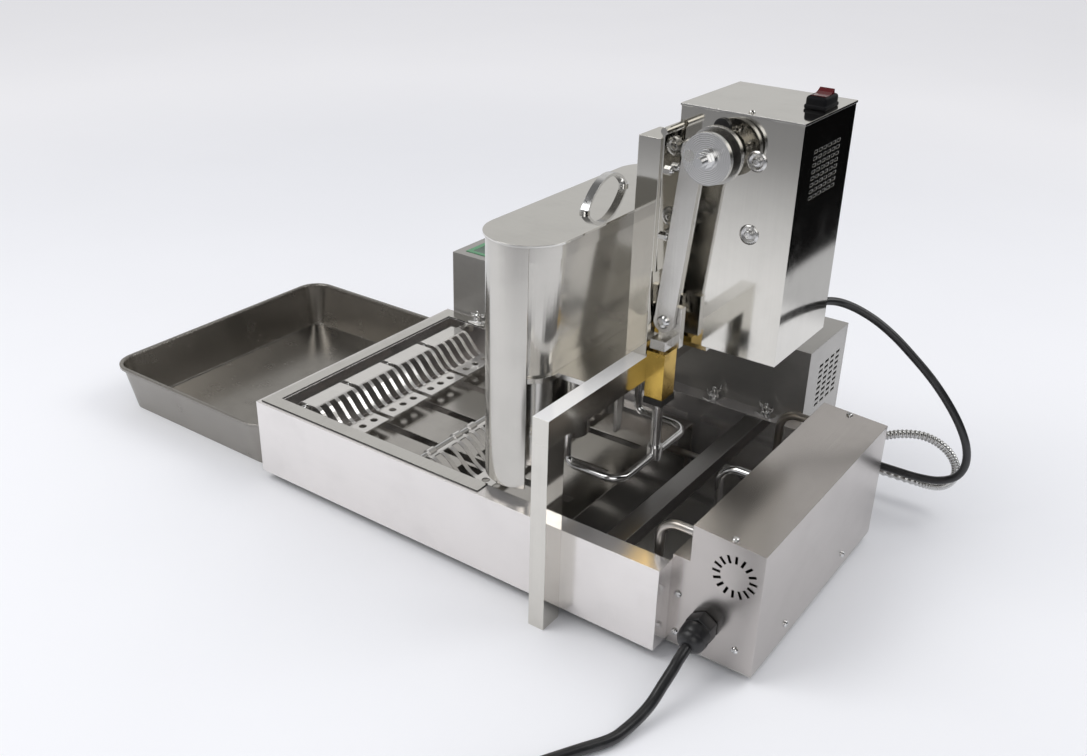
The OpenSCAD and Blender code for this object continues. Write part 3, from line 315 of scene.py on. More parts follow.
@dataclass(frozen=True)
class LaidSheet(SheetSteel):
    """A sheet that lies loose on another one, with painted shade on its upright edge faces."""

    # Painted shade: the colour of the upright edge faces, standing in for the shadow line where the sheet
    # lies on the frame.
    cut: Colour = (0.03, 0.028, 0.026)

    def surface(self, graph: Graph) -> Inputs:
        """Gives the sheet's finish with painted shade on its upright faces."""
        parts = super().surface(graph)
        up = graph.upward()
        # Painted shade: faces that look sideways take the near-black colour.
        parts["Base Color"] = graph.mix((up * up).band(0.2, 0.6), rgba(self.cut), parts["Base Color"])
        return parts


@dataclass(frozen=True)
class HighlitTopSheet(SheetSteel):
    """A polished tube whose upper face carries a painted highlight: pale and less metallic."""

    # Painted highlight: the pale colour of the upward faces.
    top_highlight: Colour = (0.93, 0.92, 0.91)
    facing: Pair = (0.6, 0.9)
    top_nonmetal_share: float = 0.9

    def surface(self, graph: Graph) -> Inputs:
        """Gives the sheet's finish with a painted highlight: a pale, less metallic upper face."""
        parts = super().surface(graph)
        # Painted highlight: upward faces turn pale and lose most of their metal.
        up = graph.upward().band(*self.facing)
        parts["Base Color"] = graph.mix(up, parts["Base Color"], rgba(self.top_highlight))
        parts["Metallic"] = 1.0 - up * self.top_nonmetal_share
        return parts


@dataclass(frozen=True)
class BarMetal(Finish):
    """Bright or machined bar, screws and brass: turned lines and fine wear."""

    colour: Colour = (0.78, 0.78, 0.78)
    roughness: float = 0.14
    tint: Colour = (0.45, 0.44, 0.42)
    wear: float = 0.2

    def surface(self, graph: Graph) -> Inputs:
        """Gives fine scratches and a dull film in places."""
        film = graph.noise(graph.coords(), 60.0, 5.0, 0.6).band(0.45, 0.75)
        fine = graph.noise(graph.coords((400.0, 400.0, 1500.0)), 1.0, 2.0)
        colour = graph.mix(film * self.wear, rgba(self.colour), rgba(self.tint))
        rough = self.roughness + film * 0.12 + (fine - 0.5) * 0.06
        normal = graph.bump(fine, 0.03, 0.0004, graph.rounded(0.0004))
        return {"Base Color": colour, "Metallic": 1.0, "Roughness": rough.clamped(), "Normal": normal}


@dataclass(frozen=True)
class BlackFootBlock(BarMetal):
    """A machined block that is black, dull and not metallic below a height."""

    # Below this height the block is black, dull and not metallic.
    black_top: float = 0.213
    black_band: Colour = (0.02, 0.018, 0.016)

    def surface(self, graph: Graph) -> Inputs:
        """Gives the bar's finish above a height and dull black below it."""
        parts = super().surface(graph)
        # Black, dull and not metallic below the height above.
        block = graph.axes(graph.coords())[2] > self.black_top
        parts["Base Color"] = graph.mix(block, rgba(self.black_band), parts["Base Color"])
        parts["Metallic"] = block
        parts["Roughness"] = (parts["Roughness"] + (1 - block) * 0.25).clamped()
        return parts


@dataclass(frozen=True)
class TurnedFace(Finish):
    """A face turned in a lathe: fine rings about an axis along Y."""

    colour: Colour = (0.70, 0.695, 0.685)
    middle: Point = (0.342, 0.0, 0.496)
    roughness: float = 0.16

    def surface(self, graph: Graph) -> Inputs:
        """Gives the rings as grooves and as a change of gloss."""
        raw = graph.out(graph.node("ShaderNodeTexCoord"), "Object")
        about = graph.out(graph.node("ShaderNodeMapping", None,
                                     {"Vector": raw, "Location": tuple(-v for v in self.middle)}))
        wave = graph.node("ShaderNodeTexWave", {"wave_type": "RINGS", "rings_direction": "Y"},
                          {"Vector": about, "Scale": 160.0, "Distortion": 1.2, "Detail": 3.0})
        rings = graph.out(wave, "Fac")
        film = graph.noise(graph.coords(), 45.0, 4.0).band(0.45, 0.75)
        colour = graph.mix(film * 0.4 + rings * 0.3, rgba(self.colour), shaded(self.colour, 0.8))
        normal = graph.bump(rings, 0.10, 0.0004, graph.rounded(0.0006))
        return {"Base Color": colour, "Metallic": 1.0,
                "Roughness": (self.roughness + rings * 0.10 + film * 0.08).clamped(), "Normal": normal}


@dataclass(frozen=True)
class HeatedTube(Finish):
    """Steel tube with the straw and grey tints of heat."""

    tints: tuple[tuple[float, Colour], ...] = (
        (0.3, (0.50, 0.50, 0.50)), (0.5, (0.44, 0.40, 0.35)), (0.7, (0.36, 0.36, 0.38)))

    def surface(self, graph: Graph) -> Inputs:
        """Gives the tints as patches along the tube."""
        patch = graph.noise(graph.coords(), 14.0, 3.0)
        colour = graph.ramp(patch, self.tints)
        rough = 0.24 + patch * 0.2
        fine = graph.noise(graph.coords(), 500.0, 2.0)
        return {"Base Color": colour, "Metallic": 1.0, "Roughness": rough.clamped(),
                "Normal": graph.bump(fine, 0.05, 0.0003)}


@dataclass(frozen=True)
class Moulded(Finish):
    """Rubber, plastic and painted metal: a fine grain, and dust or rub marks."""

    colour: Colour = (0.02, 0.02, 0.02)
    dust: Colour = (0.10, 0.10, 0.10)
    roughness: float = 0.45
    grain: float = 900.0
    depth: float = 0.06
    coat: float = 0.0
    gleam: float = 0.5

    def surface(self, graph: Graph) -> Inputs:
        """Gives the grain and a thin uneven film of dust."""
        grain = graph.noise(graph.coords(), self.grain, 2.0)
        film = graph.noise(graph.coords(), 35.0, 4.0, 0.6).band(0.48, 0.8)
        colour = graph.mix(film * 0.35, rgba(self.colour), rgba(self.dust))
        rough = self.roughness + (grain - 0.5) * 0.12 + film * 0.12
        normal = graph.bump(grain, self.depth, 0.0003, graph.rounded(0.0006))
        return {"Base Color": colour, "Roughness": rough.clamped(), "Coat Weight": self.coat,
                "Normal": normal, "Specular IOR Level": self.gleam}


@dataclass(frozen=True)
class Paper(Finish):
    """The plain studio floor. Mirrors see it end beyond the heater head in painted dark, where a flag would
    stand.
    """

    colour: Colour = (0.91, 0.91, 0.925)
    flag_east: Pair = (0.787, 0.807)
    flag_north: Pair = (0.68, 0.80)
    dim_south: Pair = (0.7, 1.9)
    south_share: float = 0.68
    north_share: float = 0.38
    shadow: Colour = (0.004, 0.004, 0.004)
    glow: Colour = (0.16, 0.15, 0.14)
    glow_from: Pair = (0.5, 7.0)

    def surface(self, graph: Graph) -> Inputs:
        """Gives a faint unevenness, a painted glow far off for the camera, and painted dark for mirrors."""
        cloud = graph.noise(graph.coords(), 3.0, 3.0)
        east, north, _ = graph.axes(graph.coords())
        seen = graph.out(graph.node("ShaderNodeLightPath"), "Is Camera Ray")
        pale = graph.mix(cloud, rgba(self.colour), shaded(self.colour, 0.97))
        # Painted reflection: mirrors see the floor dark past the heater head and dimmed to the front and
        # back; the camera sees a painted glow far off.
        painted_flag = east.band(*self.flag_east) * north.band(*self.flag_north)
        front = (0.0 - north).band(*self.dim_south) * self.south_share
        back = north.band(*self.flag_north) * self.north_share
        dark = (painted_flag + front + back).clamped() * (1.0 - seen)
        lift = (east * east + north * north).band(*self.glow_from) * seen
        return {"Base Color": graph.mix(dark, pale, rgba(self.shadow)), "Roughness": 0.6,
                "Specular IOR Level": 0.0, "Emission Strength": 1.0,
                "Emission Color": graph.mix(lift, rgba((0.0, 0.0, 0.0)), rgba(self.glow))}


# The tank's inner faces carry painted shade.
TANK_SHEET = TankSheet("tank_sheet", (0.89, 0.857, 0.838), 0.16, Axis.X, 0.06, 0.05, 0.04, metallic=0.75)
# The deck's upright faces carry painted shade.
DECK_SHEET = LaidSheet("deck_sheet", (0.76, 0.745, 0.715), 0.14, Axis.Y, 0.06, 0.05, 0.03)
# The beam's upper face carries a painted highlight.
BEAM_TUBE = HighlitTopSheet("beam_tube", (0.73, 0.71, 0.66), 0.12, Axis.Y, 0.06, 0.05, 0.03)
LANE_SHEET = SheetSteel("lane_sheet", (0.58, 0.56, 0.53), 0.19, Axis.X, 0.06, 0.05, 0.04)
SCOOP_SHEET = SheetSteel("scoop_sheet", (0.82, 0.80, 0.77), 0.09, Axis.X, 0.05, 0.05, 0.03, metallic=0.72)
POLISHED = SheetSteel("polished_sheet", (0.74, 0.725, 0.69), 0.05, Axis.X, 0.02, 0.04, 0.03)
POLISHED_UP = SheetSteel("polished_sheet_upright", (0.73, 0.71, 0.66), 0.06, Axis.Z, 0.03, 0.04, 0.05)
HOPPER_SHEET = SheetSteel("hopper_sheet", (0.64, 0.62, 0.58), 0.14, Axis.Z, 0.08, 0.05, 0.05, metallic=0.84)
CONTROL_SHEET = SheetSteel(
    "control_sheet", (0.39, 0.378, 0.355), 0.22, Axis.X, 0.05, 0.03, 0.03, metallic=0.5)
SATIN = SheetSteel("satin_sheet", (0.59, 0.558, 0.535), 0.22, Axis.Y, 0.05, 0.015)
DULL_BAR = SheetSteel("dull_bar", (0.33, 0.322, 0.318), 0.30, Axis.Y, 0.05, 0.04)
MACHINED = SheetSteel("machined_steel", (0.66, 0.645, 0.615), 0.22, Axis.Z, 0.10, 0.06)
TURNED = TurnedFace("turned_disc")
TRAY_METAL = SheetSteel("tray_metal", (0.355, 0.338, 0.312), 0.22, Axis.X, 0.08, 0.06, 0.06, 0.004)
BRIGHT = BarMetal("bright_bar")
WASHER = BarMetal("washer_metal", (0.70, 0.695, 0.685), 0.26, (0.42, 0.41, 0.40), 0.3)
BRASS = BlackFootBlock("machined_brass", (0.62, 0.415, 0.098), 0.18, (0.42, 0.27, 0.07), 0.35)
CONDUIT_METAL = BarMetal("conduit_metal", (0.62, 0.62, 0.61), 0.26, (0.35, 0.34, 0.33), 0.4)
HEATED = HeatedTube("heated_tube")
DARK_METAL = Moulded("dark_metal", (0.035, 0.035, 0.038), (0.16, 0.16, 0.16), 0.32, 700.0, 0.08, 0.3)
RUBBER = Moulded("black_rubber", (0.016, 0.016, 0.017), (0.07, 0.07, 0.07), 0.34, 900.0, 0.05, 0.2)
PLASTIC = Moulded("black_plastic", (0.014, 0.014, 0.015), (0.06, 0.06, 0.06), 0.38, 1100.0, 0.08, 0.1)
BOOT = Moulded("sealing_boot", (0.004, 0.004, 0.005), (0.02, 0.02, 0.02), 0.55, 900.0, 0.05, gleam=0.15)
RED = Moulded("red_plastic", (0.085, 0.003, 0.005), (0.12, 0.012, 0.012), 0.12, 700.0, 0.02, 0.6)
GREEN = Moulded("panel_green", (0.05, 0.24, 0.10), (0.12, 0.30, 0.16), 0.25, 800.0, 0.03, 0.3)
CERAMIC = Moulded("pale_block", (0.78, 0.75, 0.66), (0.62, 0.60, 0.54), 0.5, 500.0, 0.06)
PANEL_FIELD = Moulded("panel_field", (0.012, 0.07, 0.035), (0.05, 0.12, 0.08), 0.18, 800.0, 0.02, 0.4)
GLASS = Moulded("dark_window", (0.006, 0.007, 0.008), (0.03, 0.03, 0.03), 0.08, 1200.0, 0.01, 0.6)
KEY = Moulded("grey_key", (0.30, 0.31, 0.30), (0.22, 0.22, 0.22), 0.42, 900.0, 0.05)
FLOOR = Paper("studio_floor")

SLOT_FINISH: dict[str, Finish] = {
    "tank_sheet": TANK_SHEET, "polished_sheet": POLISHED, "plain_steel": MACHINED, "bright_bar": BRIGHT,
    "dark_metal": DARK_METAL, "heater_tube": HEATED, "brass": BRASS, "black_rubber": RUBBER,
    "black_plastic": PLASTIC, "red_plastic": RED, "panel_green": GREEN, "ceramic": CERAMIC,
    "tray_metal": TRAY_METAL, "conduit_metal": CONDUIT_METAL,
}
NODE_FINISH: dict[str, Finish] = {
    "hopper_body": HOPPER_SHEET, "hopper_shield": HOPPER_SHEET, "drive_box": POLISHED_UP,
    "column": POLISHED_UP, "gantry_leg": POLISHED_UP, "gantry_beam": BEAM_TUBE, "gantry_post": POLISHED_UP,
    "side_bracket": POLISHED_UP, "heater_box": SATIN, "control_box": CONTROL_SHEET, "crank_hub": MACHINED,
    "crosshead": MACHINED, "crank_disc": TURNED, "rod_eye_bolt": BRIGHT, "outlet_scoops": SCOOP_SHEET,
    "turn_scoops": SCOOP_SHEET, "deck_frame": DECK_SHEET, "cross_bar": DULL_BAR, "lane_plate": LANE_SHEET,
}

NEAR = Vector((0.0, -1.0, 0.0))
FAR = Vector((0.0, 1.0, 0.0))
EAST = Vector((1.0, 0.0, 0.0))
UP = Vector((0.0, 0.0, 1.0))


def dress(piece: Piece, finish: Finish) -> None:
    """Gives a piece one finish all over.

    Args:
        piece: The mesh or curve.
        finish: Its finish.
    """
    piece.data.materials.clear()
    piece.data.materials.append(finish.material())


def catmull(points: Sequence[Vector], steps: int) -> list[Vector]:
    """Runs a smooth curve through points, as the solids' cords do.

    Args:
        points: The points that the curve passes.
        steps: Stretches between two points.

    Returns:
        Points along the curve.
    """
    last = len(points) - 1
    found: list[Vector] = []
    for i in range(last):
        a, b = points[max(0, i - 1)], points[i]
        c, d = points[i + 1], points[min(last, i + 2)]
        for k in range(steps):
            t = k / steps
            found.append(0.5 * (2 * b + (c - a) * t + (2 * a - 5 * b + 4 * c - d) * t * t
                                + (3 * b - a - 3 * c + d) * t ** 3))
    return found + [points[last].copy()]


def path_length(points: Sequence[Vector]) -> float:
    """Adds up the distances along points."""
    return sum((b - a).length for a, b in zip(points, points[1:]))


def ride(piece: Piece, finish: Optional[Finish], slot: str, *nodes: str) -> Piece:
    """Dresses a finished piece and sets it on the base.

    Args:
        piece: The piece, in place.
        finish: Its finish, or None where it has its materials.
        slot: The record's material slot; not used.
        nodes: The solids that it stands for.

    Returns:
        The piece.
    """
    if finish:
        dress(piece, finish)
    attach(piece, "base")
    if nodes:
        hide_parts(*nodes)
    LOG.info("%s rides on the base", piece.name)
    return piece


def added(name: str, data: bpy.types.ID) -> Piece:
    """Puts a new object with its data into the scene."""
    piece = bpy.data.objects.new(name, data)
    bpy.context.scene.collection.objects.link(piece)
    return piece


def tube_curve(name: str, points: Sequence[Vector], radius: float) -> Piece:
    """Makes a round cord as one open curve.

    Args:
        name: The piece's name.
        points: Its middle line.
        radius: Its radius.

    Returns:
        The curve object.
    """
    data = bpy.data.curves.new(name, "CURVE")
    data.dimensions = "3D"
    spline = data.splines.new("POLY")
    spline.points.add(len(points) - 1)
    for spot, point in zip(spline.points, points):
        spot.co = (*point, 1.0)
    data.bevel_depth = radius
    data.bevel_resolution = 5
    data.use_fill_caps = True
    spline.use_smooth = True
    return added(name, data)


def rings_mesh(name: str, points: Sequence[Vector], radii: Sequence[float], sides: int) -> Piece:
    """Sweeps rings of changing radius along points into one closed skin.

    Args:
        name: The piece's name.
        points: The middle line, one point for each ring.
        radii: Each ring's radius.
        sides: Points in a ring.

    Returns:
        The mesh object.
    """
    verts: list[Vector] = []
    faces: list[tuple[int, ...]] = []
    side = UP
    last = len(points) - 1
    for i, (point, radius) in enumerate(zip(points, radii)):
        ahead = (points[min(last, i + 1)] - points[max(0, i - 1)]).normalized()
        side = (side - side.dot(ahead) * ahead).normalized()
        across = ahead.cross(side)
        for k in range(sides):
            turn = 2 * math.pi * k / sides
            verts.append(point + radius * (math.cos(turn) * side + math.sin(turn) * across))
        if i:
            base = (i - 1) * sides
            for k in range(sides):
                n = (k + 1) % sides
                faces.append((base + k, base + n, base + sides + n, base + sides + k))
    faces.append(tuple(range(sides - 1, -1, -1)))
    faces.append(tuple(last * sides + k for k in range(sides)))
    mesh = bpy.data.meshes.new(name)
    mesh.from_pydata([tuple(v) for v in verts], [], faces)
    mesh.update()
    mesh.shade_smooth()
    return added(name, mesh)


class Bench:
    """A new piece in edit mode, shaped with the tools that a modeller uses by hand.

    Sizes are millimetres. A piece is made upright at the origin and set in its place at the end.
    """

    def __init__(self, name: str) -> None:
        """Clears the selection and starts a piece of this name."""
        bpy.ops.object.select_all(action="DESELECT")
        self.name = name
        self.piece: Optional[Piece] = None

    def _open(self) -> "Bench":
        """Takes the primitive just added into edit mode."""
        self.piece = bpy.context.object
        self.piece.name = self.piece.data.name = self.name
        bpy.ops.object.transform_apply(location=True, rotation=True, scale=True)
        bpy.ops.object.mode_set(mode="EDIT")
        bpy.ops.mesh.select_mode(type="FACE")
        return self

    def _close(self) -> None:
        """Leaves edit mode."""
        if self.piece.mode == "EDIT":
            bpy.ops.object.mode_set(mode="OBJECT")

    def box(self, size: Point, base: float = 0.0) -> "Bench":
        """Starts from a block that stands on a height.

        Args:
            size: Its three sides.
            base: The height of its foot.

        Returns:
            The bench.
        """
        bpy.ops.mesh.primitive_cube_add(size=1.0, location=(0.0, 0.0, (base + size[2] / 2) * MM),
                                        scale=tuple(v * MM for v in size))
        return self._open()

    def turn(self, rings: Sequence[Pair], sides: int = 32) -> "Bench":
        """Starts from a disc and draws it up ring by ring.

        Args:
            rings: Radius and height of each ring, from the foot up.
            sides: Points in a ring.

        Returns:
            The bench.
        """
        radius, height = rings[0]
        bpy.ops.mesh.primitive_circle_add(vertices=sides, radius=radius * MM, fill_type="NGON",
                                          location=(0.0, 0.0, height * MM))
        self._open()
        bpy.ops.mesh.select_all(action="SELECT")
        for wide, high in rings[1:]:
            self.extrude((0.0, 0.0, high - height))
            self.stretch((wide / radius, wide / radius, 1.0), (0.0, 0.0, high))
            radius, height = wide, high
        bpy.ops.mesh.select_all(action="SELECT")
        bpy.ops.mesh.normals_make_consistent(inside=False)
        return self

    def pick(self, test: Callable[[Vector, Vector], bool]) -> "Bench":
        """Selects the faces whose middle, in millimetres, and normal pass a test."""
        bpy.ops.mesh.select_all(action="DESELECT")
        mesh = bmesh.from_edit_mesh(self.piece.data)
        for face in mesh.faces:
            face.select_set(bool(test(face.calc_center_median() / MM, face.normal)))
        bmesh.update_edit_mesh(self.piece.data)
        return self

    def inset(self, border: float, depth: float = 0.0) -> "Bench":
        """Insets the picked faces by a border and moves them in or out."""
        bpy.ops.mesh.inset(thickness=border * MM, depth=depth * MM)
        return self

    def extrude(self, move: Point) -> "Bench":
        """Extrudes the picked faces by a move."""
        bpy.ops.mesh.extrude_region_move(TRANSFORM_OT_translate={"value": tuple(v * MM for v in move)})
        return self

    def stretch(self, factors: Point, middle: Point = (0.0, 0.0, 0.0)) -> "Bench":
        """Scales the picked faces about a point."""
        bpy.ops.transform.resize(value=factors, center_override=tuple(v * MM for v in middle))
        return self

    def apply(self, kind: str, **settings: Any) -> "Bench":
        """Adds a modifier with its settings and applies it."""
        self._close()
        made = self.piece.modifiers.new(kind, kind)
        for name, value in settings.items():
            setattr(made, name, value)
        only(self.piece)
        bpy.ops.object.modifier_apply(modifier=made.name)
        return self

    def soften(self, width: float, segments: int = 2) -> "Bench":
        """Rounds the sharp edges."""
        return self.apply("BEVEL", width=width * MM, segments=segments, limit_method="ANGLE",
                          angle_limit=math.radians(35))

    def cut(self, tool: Piece) -> "Bench":
        """Cuts another piece's shape out of this one and drops that piece."""
        self.apply("BOOLEAN", operation="DIFFERENCE", object=tool)
        bpy.data.objects.remove(tool)
        return self

    def done(self) -> Piece:
        """Smooths the soft edges and gives the piece."""
        self._close()
        bpy.ops.object.shade_smooth_by_angle(angle=math.radians(32))
        return self.piece


Seat = tuple[Vector, Vector, float]
"""A place, the direction that a piece's top faces there, and its turn in degrees."""


def only(piece: Piece) -> None:
    """Selects one piece and makes it active."""
    bpy.ops.object.select_all(action="DESELECT")
    piece.select_set(True)
    bpy.context.view_layer.objects.active = piece


def seat(piece: Piece, where: Seat) -> Piece:
    """Sets a piece that was made at the origin in its place.

    Args:
        piece: The piece.
        where: Its seat.

    Returns:
        The piece, with its place in its mesh.
    """
    spot, top, turn = where
    aim = top.to_track_quat("Z", "Y").to_matrix().to_4x4()
    piece.matrix_world = Matrix.Translation(spot) @ aim @ Matrix.Rotation(math.radians(turn), 4, "Z")
    only(piece)
    bpy.ops.object.transform_apply(location=True, rotation=True, scale=True)
    return piece


def join(pieces: Sequence[Piece]) -> Piece:
    """Joins pieces into the first of them."""
    only(pieces[0])
    for piece in pieces[1:]:
        piece.select_set(True)
    bpy.ops.object.join()
    return pieces[0]


def repeat(model: Piece, seats: Sequence[Seat]) -> Piece:
    """Copies a piece to every seat, each copy with its own mesh, and joins the copies.

    Args:
        model: The piece at the origin, which takes the first seat.
        seats: The seats.

    Returns:
        The joined piece.
    """
    made = [model] + [added(model.name, model.data.copy()) for _ in seats[1:]]
    return join([seat(piece, where) for piece, where in zip(made, seats)])


@dataclass
class Studio:
    """The camera at the photo's angle, the floor and the light."""

    focal_px: float = 1116.35
    frame_px: float = 1087.0
    eye: Point = (838.97, -1068.49, 801.85)
    azimuth: float = 34.768
    elevation: float = 26.840
    roll: float = 1.461
    sensor: float = 36.0
    floor_side: float = 16.0
    room: Colour = (0.62, 0.615, 0.605)
    dark: Colour = (0.006, 0.006, 0.006)
    window: Colour = (1.7, 1.68, 1.66)
    window_way: Point = (0.46, -0.767, 0.4455)
    ambient: Colour = (0.62, 0.63, 0.66)
    backdrop: Colour = (0.93, 0.92, 0.94)
    lamps: tuple[tuple[str, Point, Point, float, float], ...] = (
        ("key_light", (-0.9, -1.3, 2.2), (0.1, 0.0, 0.2), 1.6, 26.0),
        ("fill_light", (1.4, 0.9, 1.9), (0.2, 0.0, 0.2), 1.4, 14.0))

    def camera(self) -> None:
        """Sets the camera where the photo was taken from."""
        az, el, roll = (math.radians(v) for v in (self.azimuth, self.elevation, self.roll))
        back = Vector((math.sin(az) * math.cos(el), -math.cos(az) * math.cos(el), math.sin(el)))
        right = (-back).cross(UP).normalized()
        up = right.cross(-back)
        cam_x = math.cos(roll) * right + math.sin(roll) * up
        cam_y = -math.sin(roll) * right + math.cos(roll) * up
        lens = bpy.data.cameras.new("camera")
        lens.sensor_fit = "HORIZONTAL"
        lens.sensor_width = self.sensor
        lens.lens = self.focal_px / self.frame_px * self.sensor
        lens.clip_start, lens.clip_end = 0.05, 30.0
        holder = added("camera", lens)
        matrix = Matrix((cam_x, cam_y, back)).transposed().to_4x4()
        matrix.translation = Vector(self.eye) * MM
        holder.matrix_world = matrix
        bpy.context.scene.camera = holder

    def floor(self) -> None:
        """Lays the pale floor."""
        bpy.ops.object.select_all(action="DESELECT")
        bpy.ops.mesh.primitive_plane_add(size=self.floor_side)
        sheet = bpy.context.object
        sheet.name = "studio_floor"
        dress(sheet, FLOOR)

    def lamp(self, name: str, spot: Point, aim: Point, size: float, power: float) -> None:
        """Hangs one soft square lamp.

        Args:
            name: The lamp's name.
            spot: Where it hangs.
            aim: Where it points.
            size: Its side.
            power: Its power in watts.
        """
        data = bpy.data.lights.new(name, "AREA")
        data.size, data.energy = size, power
        holder = added(name, data)
        holder.location = spot
        holder.rotation_euler = (Vector(aim) - Vector(spot)).to_track_quat("-Z", "Y").to_euler()

    def world(self) -> None:
        """Surrounds the machine with a pale room, darker past the heater, with one bright window."""
        world = bpy.data.worlds.new("pale_room")
        world.use_nodes = True
        bpy.context.scene.world = world
        graph = Graph(world.node_tree)
        path = graph.node("ShaderNodeLightPath")
        seen = graph.out(path, "Is Camera Ray")
        mirrored = (graph.out(path, "Is Glossy Ray") + graph.out(path, "Is Transmission Ray")).clamped()
        way = graph.axes(graph.out(graph.node("ShaderNodeTexCoord"), "Generated"))
        east, north, high = way
        shade = (east - north * 0.25 - high * 0.45).band(0.0, 0.45)
        behind = (0.0 - north).band(0.15, 0.8) * high.band(0.02, 0.3) * 0.7
        overhead = high.band(0.50, 0.80) * 0.75
        window = sum(part * share for part, share in zip(way, self.window_way)).band(0.93, 0.97)
        walls = graph.mix((shade + behind + overhead).clamped(), rgba(self.room), rgba(self.dark))
        lit = graph.mix(mirrored, rgba(self.ambient), graph.mix(window, walls, rgba(self.window)))
        colour = graph.mix(seen, lit, rgba(self.backdrop))
        shader = graph.node("ShaderNodeBackground", None, {"Color": colour, "Strength": 1.0})
        graph.node("ShaderNodeOutputWorld", None, {"Surface": graph.out(shader)})

    def build(self) -> None:
        """Sets up camera, floor, light and view."""
        bpy.context.scene.view_settings.view_transform = "Standard"
        self.camera()
        self.floor()
        self.world()
        for row in self.lamps:
            self.lamp(*row)


@dataclass
class Cords:
    """The drive box's cable, the heater's ribbed conduit and the power cord with its coil."""

    cable_r: float = 5.0
    conduit_r: float = 5.75
    cord_r: float = 6.0
    coil_lift: float = 1.2
    coil_pitch: float = 12.8
    coil_middle: Pair = (623.0, -301.0)
    coil_r: float = 80.5
    coil_from: float = 150.0
    coil_turns: float = 3.5
    coil_lead: float = 50.0
    rings: int = 48
    lead_in: float = 36.0
    tie_at: float = 240.0
    strap: Pair = (11.0, 0.9)
    pin_off: float = 9.5
    rib: float = 1.2
    wave: tuple[float, ...] = (0.0, 0.55, 0.95, 0.95, 0.55, 0.0)
    cable_route: tuple[Point, ...] = (
        (590, 354, 286), (590, 366, 286), (591.7, 377.8, 285.8), (596.8, 388.6, 284.8), (605, 397.6, 282.8),
        (616, 404.2, 279.4), (631, 409, 273.8), (651, 413.5, 264), (674, 418, 248.5), (698, 422.5, 228),
        (723, 427, 204.5), (746, 431, 178), (765.5, 434, 150), (778, 437, 122), (780.5, 438.5, 97),
        (772, 439.5, 77), (753, 439.8, 64.8), (728, 439.2, 60.4), (700, 438.4, 60), (660, 438, 60),
        (601, 438, 60))
    conduit_route: tuple[Point, ...] = (
        (655, 374.5, 100), (655, 385, 100.1), (657, 396, 101), (663, 408, 103.5), (672.5, 419.5, 107),
        (685, 430.5, 110.8), (701, 442, 113), (719, 452.3, 112), (736, 460.5, 105.5), (750, 467, 94.5),
        (760, 471, 81), (764.5, 473.5, 66.5), (762.4, 474.5, 52.2), (755.8, 475, 42), (746.3, 475, 35.6),
        (734.5, 474.8, 33), (716, 474, 32.8), (680, 472.4, 33), (640, 472, 33), (601, 472, 33))
    cord_drop: tuple[Point, ...] = (
        (643, -8, 46.1), (643, -25, 41), (643, -38, 35), (642, -54, 27), (641, -72, 18), (639, -90, 13),
        (635, -110, 9), (629, -130, 7.2), (609, -164, 7.2))

    def polar(self, radius: float, turn: float, z: float) -> Vector:
        """Gives a point about the coil's middle, by radius and turn."""
        x, y = self.coil_middle
        return place(x + radius * math.cos(turn), y + radius * math.sin(turn), z)

    def coil_point(self, turns: float) -> Vector:
        """Gives the coil's middle line after some turns: in on the floor, out on top of it."""
        half = self.coil_turns / 2
        radius = self.coil_r - self.coil_pitch * (half - abs(turns - half))
        climb = min(1.0, max(0.0, 2 * (turns - half) + 0.5))
        rise = self.coil_pitch * climb * climb * (3 - 2 * climb)
        turn = math.radians(self.coil_from + 360 * turns)
        return self.polar(radius, turn, self.cord_r + self.coil_lift + rise)

    def heading(self, turns: float) -> Vector:
        """Gives the coil's direction after some turns."""
        turn = math.radians(self.coil_from + 360 * turns)
        return Vector((-math.sin(turn), math.cos(turn), 0.0)) * MM

    def plug(self, spot: Vector, way: Vector) -> list[Piece]:
        """Models the plug: ribbed neck, body with finger grips, and two round pins.

        Args:
            spot: Where the cord ends.
            way: The direction that it ends in.

        Returns:
            The body and the pins.
        """
        bench = Bench("plug_body").turn([
            (7.0, -1.0), (7.8, 0.0), (8.0, 3.0), (7.2, 3.8), (7.2, 4.8), (8.6, 5.6), (8.8, 8.4), (8.0, 9.2),
            (8.0, 10.2), (9.4, 11.0), (10.0, 14.0), (16.4, 20.4), (19.0, 24.0), (20.0, 28.0), (20.0, 42.0),
            (19.0, 43.6), (18.4, 44.0)], 36)
        bench.pick(lambda at, turn: 28.0 < at.z < 42.0 and abs(turn.y) > 0.75).inset(1.2).inset(0.8, -1.0)
        body = seat(bench.soften(0.3).done(), (spot, way, 0.0))
        ride(body, RUBBER, "black_rubber", "cord_plug")
        pin = Bench("plug_pins").turn([(2.4, 43.0), (2.4, 60.4), (2.0, 62.2), (1.0, 63.0)], 20).done()
        side = way.cross(UP) * self.pin_off * MM
        pins = repeat(pin, [(spot + side, way, 0.0), (spot - side, way, 0.0)])
        ride(pins, BRIGHT, "bright_bar", "cord_plug")
        return [body, pins]

    def tie(self) -> Piece:
        """Bands the coil: a loop of strap round its turns."""
        wide, thick = self.strap
        reach = self.coil_pitch * self.coil_turns / 2
        across = reach + 2 * self.cord_r + 0.4
        bench = Bench("cord_tie").box((across, wide, 2 * self.cord_r + self.coil_pitch + 0.3), 1.1)
        bench.pick(lambda at, way: abs(way.y) > 0.9)
        bpy.ops.mesh.delete(type="FACE")
        bench.soften(4.5, 5).apply("SOLIDIFY", thickness=thick * MM, offset=1.0)
        spot = self.polar(self.coil_r - reach / 2, math.radians(self.tie_at), 0.0)
        piece = seat(bench.done(), (spot, UP, self.tie_at))
        return ride(piece, RUBBER, "black_rubber")

